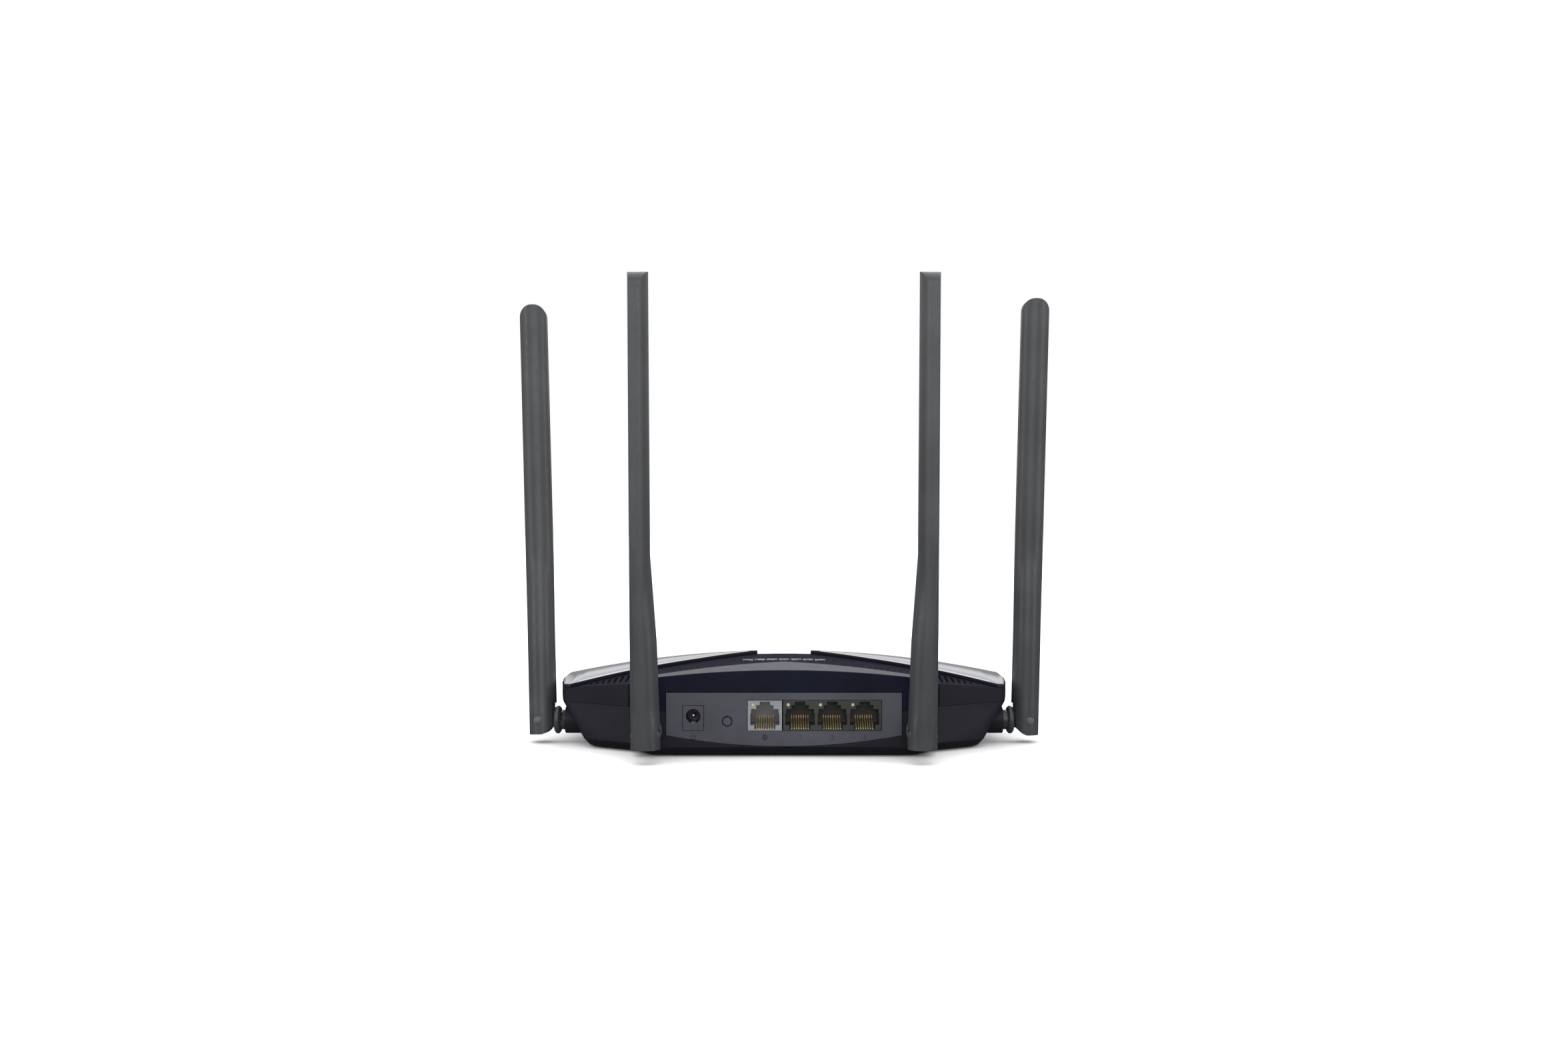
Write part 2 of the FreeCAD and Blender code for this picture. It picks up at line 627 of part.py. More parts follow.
def wing_panels():
    """Glossy covers that lie on the deck and taper from the casing's ends towards the middle."""
    inset = s.wing_inset
    corners = [
        (s.wing_inner_x, back(s.wing_inner_back)),
        (s.wing_bend_x, back(s.wing_bend_back)),
        (s.flank_x - inset, back(s.flank_back)),
        (s.hip_x - inset, back(s.hip_back)),
        (s.side_x - inset, back(s.side_back)),
        (s.cheek_x - inset, back(s.cheek_back)),
        (s.jaw_x - inset, back(s.jaw_back - inset)),
        (s.wing_inner_x, back(s.wing_inner_front)),
    ]
    for side, word in ((-1, "left"), (1, "right")):
        upright = prism("XY", sided(side, corners), s.parting_z + s.cut_over, s.casing_top)
        sheet = common(upright, above_roof(s.deck_apex))
        node(cut(sheet, above_roof(s.deck_apex + s.wing_thick)), f"{word}_wing_panel")


def silver_trim():
    """Row of plain bright dashes laid on the deck behind the hood."""
    dashes = []
    near = back(s.dash_back)
    for number in range(DASHES):
        x = s.dash_pitch * (number - DASHES // 2)
        inner_end = max(0.0, abs(x.value) - s.dash_half.value)
        top = roof_height(inner_end, (s.dash_back + s.dash_wide).value)
        dashes.append(block((x - s.dash_half, near, top),
                            (x + s.dash_half, near + s.dash_wide, top + s.dash_tall)))
    node(group(*dashes), "silver_trim")


def status_light():
    """Clear bar that carries light from the board up through the deck near the nose, and its lamps."""
    near = back(s.lamp_back) + s.fit_gap
    lamps_top = s.board_z + s.board_thick + s.led_tall
    top = roof_height(0, s.lamp_back.value) + s.lamp_proud
    node(block((-s.lamp_half, near, lamps_top + s.lamp_gap),
               (s.lamp_half, near + s.lamp_wide - s.fit_gap * 2, top)), "status_light_pipe")
    lamps = [block((x - s.led_half, near + s.fit_gap, s.board_z + s.board_thick),
                   (x + s.led_half, near + s.fit_gap + s.led_wide, lamps_top))
             for x in (-s.led_pitch, size(0), s.led_pitch)]
    node(group(*lamps), "status_lamps")


def feet_and_screws():
    """Four feet, the case screws under them, and the board's screws."""
    places = four_places(s.foot_x, s.foot_back, s.foot_x, s.front_foot_back)
    node(group(*[rod("z", (x, y, 0), s.foot_radius, s.base_z) for x, y in places]), "rubber_feet")
    seat = screw_seat()
    screws = [fuse(rod("z", (x, y, seat - s.screw_head_tall), s.screw_head, s.screw_head_tall),
                   rod("z", (x, y, seat), s.screw_radius, s.screw_tip - seat)) for x, y in boss_places()]
    node(group(*screws), "case_screws")
    board_top = s.board_z + s.board_thick
    tip = s.board_z - s.board_screw_grip
    screws = [fuse(rod("z", (x, y, board_top), s.board_screw_head, s.board_screw_tall),
                   rod("z", (x, y, tip), s.board_screw_radius, board_top - tip)) for x, y in post_places()]
    node(group(*screws), "board_screws")


# ---------------------------------------------------------------- socket panel and sockets

def rear_port_panel():
    """Plate with a sagging lower edge, and openings for the power inlet, the sockets and the button."""
    plate = body("rear_port_panel_plate")
    face = back(s.panel_inset)
    pad(plate, "XZ", smile_outline(0), face + s.panel_thick, s.panel_thick)
    openings = body_sketch(plate, "XZ", face)
    gap = s.fit_gap
    low = s.board_z + s.board_thick
    inlet = (s.jack_x - s.jack_width / 2, s.jack_x + s.jack_width / 2, s.jack_tall)
    sockets = (s.wan_x - s.wan_width / 2, s.lan_x + s.lan_width / 2, s.socket_tall)
    for left, right, tall in (inlet, sockets):
        draw_outline(openings, rectangle(left - gap, low - gap, right + gap, low + tall + gap))
    draw_circle(openings, s.button_x, s.button_z, s.button_hole)
    pocket(plate, openings, s.panel_thick)
    node(plate, "rear_port_panel")


def plug_cavity(x):
    """Room for a network plug: body, brow, key and latch steps, and the slot for the comb below them."""
    board_top = s.board_z + s.board_thick
    low = board_top + s.socket_sill
    right = []
    for width, tall in ((s.plug_width, s.plug_tall), (s.brow_width, s.brow_tall),
                        (s.key_width, s.key_tall), (s.latch_width, s.latch_tall)):
        right += [(x + width / 2, low), (x + width / 2, low + tall)]
        low = low + tall
    left = [(x * 2 - corner, z) for corner, z in reversed(right)]
    comb = block((x - s.comb_width / 2, back(-s.cut_over), board_top + s.comb_low),
                 (x + s.comb_width / 2, back(s.comb_deep), board_top + s.socket_sill + s.comb_lap))
    return fuse(prism("XZ", right + left, back(-s.cut_over), s.socket_cavity + s.cut_over), comb)


def contact_row(x):
    """Eight bent strips that rise from the mouth's sill to the back of the cavity and up its rear wall."""
    low = s.board_z + s.board_thick
    thick = s.contact_thick
    foot = (back(s.contact_back), low + s.contact_foot)
    heel = (back(s.contact_heel_back), low + s.contact_heel)
    tip = (back(s.contact_tip_back), low + s.contact_tip)
    outline = [foot, heel, tip, (tip[0] - thick, tip[1]), (heel[0] - thick, heel[1] + thick),
               (foot[0], foot[1] + thick)]
    middle = (CONTACTS - 1) / 2
    starts = [x + s.contact_pitch * (number - middle) - s.contact_width / 2 for number in range(CONTACTS)]
    return [prism("YZ", outline, start, s.contact_width) for start in starts]


def light_place(x):
    """Centre of the small light above a socket, at its upper left."""
    return x - s.light_aside, s.board_z + s.board_thick + s.light_up


def network_sockets():
    """The single socket and the row of three: shells, contacts and lights."""
    low = s.board_z + s.board_thick
    row = [s.lan_x + s.lan_pitch * number for number in (-1, 0, 1)]
    lights = []
    for name, centre, width, places in (("wan_jack", s.wan_x, s.wan_width, [s.wan_x]),
                                        ("lan_jack", s.lan_x, s.lan_width, row)):
        shell = block((centre - width / 2, back(0), low),
                      (centre + width / 2, back(s.socket_deep), low + s.socket_tall))
        holes = [plug_cavity(x) for x in places]
        for x in places:
            light_x, light_z = light_place(x)
            holes.append(rod("y", (light_x, back(-s.cut_over), light_z), s.light_radius + s.light_gap,
                             s.light_long + s.cut_over))
            lights.append(rod("y", (light_x, back(0), light_z), s.light_radius, s.light_long))
        node(cut(shell, *holes), f"{name}_housing")
        node(group(*[strip for x in places for strip in contact_row(x)]), f"{name}_contacts")
    node(group(*lights), "port_lights")


def power_inlet():
    """Square-faced inlet with a round bore, a centre pin with a domed tip, and a side spring."""
    low = s.board_z + s.board_thick
    half = s.jack_width / 2
    shell = block((s.jack_x - half, back(0), low), (s.jack_x + half, back(s.jack_deep), low + s.jack_tall))
    mouth = (s.jack_x, back(-s.cut_over), s.jack_hole_z)
    bore = rod("y", mouth, s.jack_hole, s.jack_hole_deep + s.cut_over)
    node(cut(shell, bore), "power_inlet_body")
    tip = doc.addObject("Part::Sphere", "Tip")
    bind(tip, Radius=s.jack_pin)
    middle = (s.jack_x, back(s.jack_pin_back), s.jack_hole_z)
    move(tip, *middle)
    post = rod("y", middle, s.jack_pin, s.jack_hole_deep - s.jack_pin_back)
    node(fuse(tip, post), "power_inlet_pin")
    spring = s.jack_hole_z - s.jack_hole + s.spring_lift
    strip = block((s.jack_x - s.spring_half, back(s.spring_back), spring),
                  (s.jack_x + s.spring_half, back(s.jack_hole_deep), spring + s.spring_thick))
    node(strip, "power_inlet_spring")


def reset_button():
    """Button that slides in the panel with a collar behind it, and the switch that it presses."""
    face = (s.button_x, back(-s.button_proud), s.button_z)
    cap = rod("y", face, s.button_radius, s.button_long + s.button_proud)
    collar_back = s.panel_inset + s.panel_thick + s.collar_gap
    collar = rod("y", (s.button_x, back(collar_back), s.button_z), s.collar_radius, s.collar_thick)
    node(fuse(cap, collar), "reset_button_cap")
    plunger_back = s.button_long + s.button_travel + s.button_proud
    near = back(plunger_back) + s.plunger_long / 2
    case = block((s.button_x - s.switch_half, near, s.board_z + s.board_thick),
                 (s.button_x + s.switch_half, near + s.switch_deep, s.button_z + s.switch_half))
    plunger = rod("y", (s.button_x, back(plunger_back), s.button_z), s.plunger_radius, s.plunger_long)
    node(fuse(case, plunger), "reset_switch")


# ---------------------------------------------------------------- board and what it carries

def main_board():
    """Circuit board, narrower between the rear antennas, with holes for its screws."""
    board = body("main_board_sheet")
    half = [
        (s.board_tab_x, back(s.board_tab_back)),
        (s.board_tab_x, back(s.board_neck_back)),
        (s.board_side_x, back(s.board_side_back)),
        (s.board_side_x, back(s.board_front_back)),
        (s.board_nose_x, back(s.board_nose_back)),
    ]
    pad(board, "XY", mirrored(half), s.board_z, s.board_thick)
    holes = body_sketch(board, "XY", s.board_z + s.board_thick)
    for x, y in post_places():
        draw_circle(holes, x, y, s.screw_radius)
    pocket(board, holes, s.board_thick)
    node(board, "main_board")


# x, distance behind the panel, width, depth, height, and lift above the board
BOARD_BOXES = {
    "processor_chip": [(0, 68, 15, 15, 1.2)],
    "thermal_pad": [(0, 68, 14, 14, 0.8, 1.2)],
    "memory_chip": [(34, 84, 8, 12, 1)],
    "radio_chips": [(-42, 66, 9, 9, 0.9), (42, 66, 9, 9, 0.9)],
    "network_transformers": [(-8, 25, 15, 8, 4.5), (12, 25, 15, 8, 4.5), (30, 25, 15, 8, 4.5)],
    "power_inductors": [(-29, 34, 7, 7, 3.5), (-19, 34, 5, 5, 2.6)],
}
CAPACITOR_PLACES = ((-40, 24), (-30, 24), (-40, 34))


def on_board(x, depth, width, deep, tall, lift=0):
    """Box that sits on the board, centred at x and a distance behind the panel."""
    low = s.board_z + s.board_thick + lift
    return block((x - width / 2, back(depth - deep / 2), low),
                 (x + width / 2, back(depth + deep / 2), low + tall))


def heat_sink():
    """Finned block over the processor."""
    low = s.board_z + s.board_thick + s.sink_lift
    half = s.sink_width / 2
    near, far = back(s.sink_back - s.sink_deep / 2), back(s.sink_back + s.sink_deep / 2)
    blank = block((-half, near, low), (half, far, low + s.sink_tall))
    gaps = []
    for number in range(SINK_GAPS):
        x = s.fin_pitch * (number - (SINK_GAPS - 1) / 2)
        gaps.append(block((x - s.fin_gap / 2, near - s.cut_over, low + s.sink_lift),
                          (x + s.fin_gap / 2, far + s.cut_over, low + s.sink_tall + s.cut_over)))
    node(cut(blank, *gaps), "heat_sink")


def board_components():
    """Chips, shields, transformers, capacitors and coils; each row of BOARD_BOXES is one node."""
    for name, boxes in BOARD_BOXES.items():
        node(group(*[on_board(*box) for box in boxes]), name)
    sheet = s.shield_sheet
    shields = []
    for x in (-s.shield_x, s.shield_x):
        outside = on_board(x, s.shield_back, s.shield_width, s.shield_deep, s.shield_tall)
        inside = on_board(x, s.shield_back, s.shield_width - sheet * 2, s.shield_deep - sheet * 2,
                          s.shield_tall - sheet)
        shields.append(cut(outside, inside))
    node(group(*shields), "radio_shields")
    top = s.board_z + s.board_thick
    cans = [rod("z", (x, back(depth), top), s.capacitor_radius, s.capacitor_tall)
            for x, depth in CAPACITOR_PLACES]
    node(group(*cans), "electrolytic_capacitors")


# ---------------------------------------------------------------- antennas, in the frame of the hinge pin

def blade_outline():
    """Broad face: straight outer edge, rounded top, and a lower inner corner cut round the hub."""
    foot = -s.blade_foot
    turn = s.notch_radius
    toe = math.sqrt(turn.value ** 2 - s.blade_foot.value ** 2)
    return [
        (-toe, foot),
        (s.blade_outer, foot),
        (s.blade_outer, s.blade_top - s.blade_round, s.blade_round * -1),
        (s.blade_outer - s.blade_round, s.blade_top),
        (-s.blade_inner + s.blade_round, s.blade_top, s.blade_round * -1),
        (-s.blade_inner, s.blade_top - s.blade_round),
        (-s.blade_inner, s.notch_top),
        (-turn, s.notch_top),
        (-turn, 0, turn * -1),
    ]


def blade_section(hand, crown, edge_front, edge_back):
    """Section across the blade: a crowned broad face and a flatter back between two side faces."""
    half = (s.blade_outer + s.blade_inner) / 2
    front = bow_radius(half, crown + edge_front)
    rear = bow_radius(half, s.blade_back - edge_back)
    if hand > 0:
        return [(-s.blade_inner, edge_front, -front), (s.blade_outer, edge_front),
                (s.blade_outer, edge_back, -rear), (-s.blade_inner, edge_back)]
    return [(-s.blade_inner, -edge_back, -rear), (s.blade_outer, -edge_back),
            (s.blade_outer, -edge_front, -front), (-s.blade_inner, -edge_front)]


def blade_solid(name, hand):
    """Whole blade: the broad outline crossed with crowned sections that swell towards the root."""
    form = body(f"{name}_blade_form")
    loft(form, "PartDesign::AdditiveLoft", [
        (-s.blade_foot, blade_section(hand, s.foot_front, -s.foot_edge_front, s.root_edge_back)),
        (s.root_top, blade_section(hand, s.root_front, s.root_edge_front, s.root_edge_back)),
        (s.flare_full, blade_section(hand, s.flare_front, s.edge_front, s.root_edge_back)),
        (s.flare_top, blade_section(hand, s.blade_front, s.edge_front, s.edge_back)),
        (s.blade_top, blade_section(hand, s.blade_front, s.edge_front, s.edge_back))])
    broad = prism("XZ", blade_outline(), -s.blade_reach, s.blade_reach * 2)
    return common(broad, form)


def across(hand, low, high):
    """Low and high Y of a span across the blade's thickness, given for the right-handed blade."""
    return (size(low), size(high)) if hand > 0 else (-size(high), -size(low))


def slab(hand, x, y, z):
    """Box in the blade's frame, from spans; the Y span is given for the right-handed blade."""
    near, far = across(hand, *y)
    return block((x[0], near, z[0]), (x[1], far, z[1]))


def blade_shells(name, hand, place):
    """Front and back shell, split on the seam plane, with ears each side of the hub's tongue."""
    reach = s.blade_reach
    top = s.blade_top + s.cut_over
    middle = (s.blade_outer - s.blade_inner) / 2
    hollow = slab(hand, (middle - s.hollow_half, middle + s.hollow_half), (-s.hollow_front, s.hollow_back),
                  (s.hollow_low, s.blade_top - s.blade_round))
    slot = slab(hand, (-reach, s.slot_outer), (-s.slot_half, s.blade_seam), (-reach, s.slot_top))
    near, far = across(hand, -reach, reach)
    pin_hole = rod("y", (0, near, 0), s.pin_radius + s.run_gap / 2, far - near)
    near, far = across(hand, -reach, -s.pin_seat)
    recess = rod("y", (0, near, 0), s.pin_head + s.fit_gap, far - near)
    half_front = slab(hand, (-reach, reach), (-reach, s.blade_seam), (-reach, top))
    half_back = slab(hand, (-reach, reach), (s.blade_seam, reach), (-reach, top))
    whole = blade_solid(name, hand)
    node(cut(common(whole, half_front), hollow, slot, pin_hole, recess), f"{name}_blade_front", place)
    node(cut(common(whole, half_back), hollow, pin_hole), f"{name}_blade_back", place)


def hinge_pin(name, hand, place):
    near, far = across(hand, -s.pin_seat, s.pin_end)
    shank = rod("y", (0, near, 0), s.pin_radius, far - near)
    near, far = across(hand, -s.pin_seat - s.pin_head_tall, -s.pin_seat)
    head = rod("y", (0, near, 0), s.pin_head, far - near)
    node(fuse(shank, head), f"{name}_hinge_pin", place)


def radiating_element(name, hand, place):
    """Thin antenna board and its coax tail, held in the blade's hollow."""
    middle = (s.blade_outer - s.blade_inner) / 2
    span = (s.blade_seam - s.element_thick, s.blade_seam)
    strip = slab(hand, (middle - s.element_half, middle + s.element_half), span,
                 (s.element_low, s.element_top))
    near, far = across(hand, *span)
    tail_foot = s.hollow_low + s.fit_gap
    tail_tall = s.element_low + s.tail_lap - tail_foot
    tail = rod("z", (middle, (near + far) / 2, tail_foot), s.lead_radius, tail_tall)
    node(fuse(strip, tail), f"{name}_element", place)


def antenna_hub(name, place):
    """Turned swivel: hollow shaft, neck and bevelled flange, with a flat tongue for the hinge pin."""
    turned = body(f"{name}_hub_turned")
    sketch = body_sketch(turned, "XZ")
    clip_end = -s.shaft_end - s.clip_thick
    bevel = s.flange_bevel
    flange_back = -s.flange_face - s.flange_thick
    draw_outline(sketch, [
        (clip_end, s.shaft_bore), (-s.flange_face, s.shaft_bore), (-s.flange_face, s.flange_radius - bevel),
        (-s.flange_face - bevel, s.flange_radius), (flange_back + bevel, s.flange_radius),
        (flange_back, s.flange_radius - bevel), (flange_back, s.neck_radius), (-s.neck_end, s.neck_radius),
        (-s.neck_end, s.shaft_radius), (-s.shaft_end, s.shaft_radius), (-s.shaft_end, s.clip_radius),
        (clip_end, s.clip_radius)])
    spin = turned.newObject("PartDesign::Revolution", "Spin")
    spin.Profile = sketch
    axis = [item for item in turned.Origin.OriginFeatures if item.Role == "X_Axis"][0]
    spin.ReferenceAxis = (axis, [""])
    spin.Angle = 360
    half = s.tongue_thick / 2
    tongue = fuse(block((-s.flange_face - s.flange_lap, -half, -s.tongue_half), (0, half, s.tongue_half)),
                  rod("y", (0, -half, 0), s.tongue_half, s.tongue_thick))
    eye = rod("y", (0, -half - s.cut_over, 0), s.pin_radius + s.run_gap, s.tongue_thick + s.cut_over * 2)
    node(cut(fuse(turned, tongue), eye), f"{name}_hub", place)


def antenna_socket(name, place, ringed):
    """Bush in the casing wall that the hub's shaft turns in; the rear ones have a ring on the wall."""
    inner_end = -s.neck_end - s.socket_gap - s.socket_long
    parts = [rod("x", (inner_end, 0, 0), s.socket_radius, s.socket_long)]
    if ringed:
        parts.append(rod("x", (s.rear_pin_back, 0, 0), s.ring_radius, s.ring_thick))
    start = (inner_end - s.cut_over, 0, 0)
    bore = rod("x", start, s.shaft_radius + s.run_gap, s.socket_long + s.cut_over * 2)
    node(cut(fuse(*parts), bore), f"{name}_socket", place)


def antennas():
    up = FreeCAD.Vector(0, 0, 1)
    for name, hand, ringed, pin, turn, hub_tilt, blade_tilt in antenna_places():
        face = FreeCAD.Rotation(up, turn)
        antenna_socket(f"{name}_antenna", FreeCAD.Placement(pin, face), ringed)
        antenna_hub(f"{name}_antenna", FreeCAD.Placement(pin, hub_tilt * face))
        blade_place = FreeCAD.Placement(pin, blade_tilt * face)
        hinge_pin(f"{name}_antenna", hand, blade_place)
        blade_shells(f"{name}_antenna", hand, blade_place)
        radiating_element(f"{name}_antenna", hand, blade_place)


def antenna_places():
    """Name, hand, ringed socket, pin position, turn about Z, and the tilts of the hub and of the blade."""
    across_axis = FreeCAD.Vector(0, 1, 0)
    swing_axis = FreeCAD.Vector(1, 0, 0)
    places = []
    for side, word in ((-1, "left"), (1, "right")):
        pin = FreeCAD.Vector(side * s.rear_pin_x.value, back(s.rear_pin_back).value, s.rear_pin_z.value)
        lean = FreeCAD.Rotation(across_axis, side * s.rear_lean.value)
        places.append((f"rear_{word}", side, True, pin, -90, lean, lean))
        pin = FreeCAD.Vector(side * s.side_pin_x.value, back(s.side_pin_back).value, s.side_pin_z.value)
        side_lean = s.side_lean if side > 0 else s.left_side_lean
        lean = FreeCAD.Rotation(across_axis, side * side_lean.value)
        swing = FreeCAD.Rotation(swing_axis, -s.left_side_swing.value if side < 0 else 0)
        places.append((f"side_{word}", side, False, pin, 0 if side > 0 else 180, swing, swing * lean))
    return places


# share of a straight run that the bend at its end may use
BEND_SHARE = 0.45


def tube(points, radius):
    """Round lead along straight runs joined by tangent arcs as large as the runs allow."""
    spots = [FreeCAD.Vector(*point) for point in points]
    edges = []
    start = spots[0]
    for before, corner, after in zip(spots, spots[1:], spots[2:]):
        run_in = corner - before
        run_out = after - corner
        turn = run_in.getAngle(run_out)
        reach = BEND_SHARE * min(run_in.Length, run_out.Length)
        into = corner - run_in.normalize() * reach
        out = corner + run_out.normalize() * reach
        bend = reach / math.tan(turn / 2)
        towards = ((into + out) * 0.5 - corner).normalize()
        middle = corner + towards * (bend / math.cos(turn / 2) - bend)
        edges.append(Part.LineSegment(start, into).toShape())
        edges.append(Part.Arc(into, middle, out).toShape())
        start = out
    edges.append(Part.LineSegment(start, spots[-1]).toShape())
    ring = Part.Wire(Part.makeCircle(radius, spots[0], spots[1] - spots[0]))
    return Part.Wire(edges).makePipeShell([ring], True, False)


def lead_routes():
    """Right-hand route of each pair's coax lead, from inside the hub to the board: x, distance behind
    the panel, and height."""
    landing = (s.board_z + s.board_thick + s.lead_landing).value
    rear_x, rear_z = s.rear_pin_x.value, s.rear_pin_z.value
    side_back, side_z = s.side_pin_back.value, s.side_pin_z.value
    return {
        "rear": [(rear_x, -2, rear_z), (rear_x, 6, rear_z), (57.4, 14, 13.9), (54, 22, 14.2),
                 (49.5, 28.5, landing)],
        "side": [(95.5, side_back, side_z), (88, side_back, side_z), (80.5, 45, 12.2), (73, 43.6, 14.4),
                 (65.5, 42.4, 14), (58.5, 41.6, landing)],
    }


def antenna_leads():
    """Coax from each hub's hollow shaft to its connector on the board."""
    ahead = {"rear": (0.9, 1.1), "side": (1.4, 0)}
    ends = []
    for pair, route in lead_routes().items():
        for side, word in ((-1, "left"), (1, "right")):
            lead = doc.addObject("Part::Feature", "Lead")
            points = [(side * x, back(depth).value, z) for x, depth, z in route]
            lead.Shape = tube(points, s.lead_radius.value)
            node(lead, f"{pair}_{word}_antenna_lead")
            x, y, _ = points[-1]
            inward, onward = ahead[pair]
            foot = (x - side * inward, y + onward, s.board_z + s.board_thick)
            ends.append(rod("z", foot, s.connector_radius, s.connector_tall))
    node(group(*ends), "antenna_connectors")


# ---------------------------------------------------------------- build, check and write

def check_document():
    for item in doc.Objects:
        if {"Invalid", "Error"} & set(item.State):
            raise RuntimeError(f"{item.Name} ({item.Label}) is in state {item.State}")
    for item in nodes:
        if item.Shape.isNull() or not item.Shape.isValid() or item.Shape.Volume <= 0:
            raise RuntimeError(f"{item.Label} has no valid shape")


def main():
    for make in (bottom_cover, top_cover, wing_panels, silver_trim, status_light, feet_and_screws,
                 rear_port_panel, network_sockets, power_inlet, reset_button, main_board, heat_sink,
                 board_components, antennas, antenna_leads):
        make()
    doc.recompute()
    check_document()
    os.makedirs("parts", exist_ok=True)
    for item in nodes:
        item.Shape.exportStep(f"parts/{item.Label}.step")
    print(len(nodes), "nodes written")


main()
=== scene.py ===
"""Wireless router with four fold-up antennas: the looks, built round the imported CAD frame. Metres."""

import json
import math

import bmesh
import bpy
from mathutils import Matrix, Vector

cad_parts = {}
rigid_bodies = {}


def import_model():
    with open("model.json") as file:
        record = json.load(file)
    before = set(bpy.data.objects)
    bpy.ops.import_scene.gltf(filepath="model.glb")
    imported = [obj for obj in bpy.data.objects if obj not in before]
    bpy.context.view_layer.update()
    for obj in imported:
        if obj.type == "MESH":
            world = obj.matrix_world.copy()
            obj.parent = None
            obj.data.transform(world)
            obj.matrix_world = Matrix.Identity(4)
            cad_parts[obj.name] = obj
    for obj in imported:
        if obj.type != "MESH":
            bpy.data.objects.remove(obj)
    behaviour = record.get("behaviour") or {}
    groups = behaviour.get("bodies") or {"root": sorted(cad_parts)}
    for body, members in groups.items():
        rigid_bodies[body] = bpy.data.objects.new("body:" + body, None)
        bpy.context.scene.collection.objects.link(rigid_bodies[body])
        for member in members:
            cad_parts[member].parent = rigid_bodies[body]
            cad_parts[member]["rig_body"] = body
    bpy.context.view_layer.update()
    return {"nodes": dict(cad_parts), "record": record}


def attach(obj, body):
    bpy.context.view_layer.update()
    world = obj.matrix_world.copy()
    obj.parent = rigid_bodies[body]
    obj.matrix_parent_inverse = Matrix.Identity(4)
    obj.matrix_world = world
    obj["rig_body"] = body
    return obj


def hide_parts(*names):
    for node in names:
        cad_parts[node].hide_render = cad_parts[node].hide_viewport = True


MM = 0.001
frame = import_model()

# ------------------------------------------------------------------ sizes, millimetres

PANEL_Y = -62.7
CREST_BACK = 72.0
DECK_APEX = 38.5
ARCH_SPAN, ARCH_DROP = 120.0, 14.85
ARCH_RADIUS = (ARCH_SPAN ** 2 + ARCH_DROP ** 2) / (2 * ARCH_DROP)
REAR_FALL, FRONT_FALL = 0.065, 0.2
WING_THICK = 1.7
WING_DARK_END = 17
WING_OUTLINE = ((12.8, 72), (40, 57.5), (97.6, 34), (100.6, 38), (104, 60), (101.1, 90), (97.6, 94.1),
                (12.8, 80))
WING_ROLL, WING_ROLL_FROM, WING_EDGE_ROUND = 1.25, 97.5, 0.22
HOOD_HALF, HOOD_END_BACK, HOOD_POINT_BACK = 60.0, 10.0, 38.5
PARTING_Z = 20.0
PANEL_FACE_BACK = 0.3

# blade, in the frame of its hinge pin: x outward, z up, crown towards -y on the right-handed one
BLADE_TOP, BLADE_FOOT = 194.4, -6.6
BLADE_OUTER, BLADE_INNER = 4.7, -7.7
TOP_ROUND = 5.4
NOTCH_TOP, NOTCH_RADIUS = 7.3, 6.8
BLADE_BACK, BLADE_FRONT = 6.4, -2.4
EDGE_FRONT, EDGE_BACK = 0.35, 5.5
ROOT_EDGE_BACK = 3.2
FLARE_TOP, FLARE_FULL, FLARE_LOW = 76.0, 38.0, 8.0
FLARE_FULL_FRONT, FLARE_MID_FRONT, FLARE_ROOT_FRONT = -5.05, -6.0, -6.4
SEAM = 2.2
SLOT_OUTER, SLOT_TOP = 3.7, 7.6
PIN_RECESS, PIN_SEAT, PIN_FACE = 2.05, 5.3, 5.65
SEAM_GAP = 0.01
PIN_BORE = 1.53
ROOT_EDGE_RISE = 0.65
HOLLOW = ((-5.2, -0.4, 9.0), (2.2, 4.0, BLADE_TOP - TOP_ROUND))

ANTENNAS = {
    # name: hand, pin position, turn about Z, lean about Y, swing about X (degrees)
    "rear_left": (-1, (-58.4, -81.2, 12.8), -90, -0.35, 0),
    "rear_right": (1, (58.4, -81.2, 12.8), -90, 0.35, 0),
    "side_left": (-1, (-112.9, -16.7, 10.3), 180, -2.2, -5),
    "side_right": (1, (112.9, -16.7, 10.3), 0, 1.5, 0),
}


def back(distance):
    return PANEL_Y + distance


def roof_z(x, y):
    """Height of the matte deck at x, y, in millimetres."""
    arch = ARCH_RADIUS - math.sqrt(ARCH_RADIUS ** 2 - x * x)
    run = y - back(CREST_BACK)
    fall = -run * REAR_FALL if run < 0 else run * FRONT_FALL
    return DECK_APEX - arch - fall


# ------------------------------------------------------------------ materials

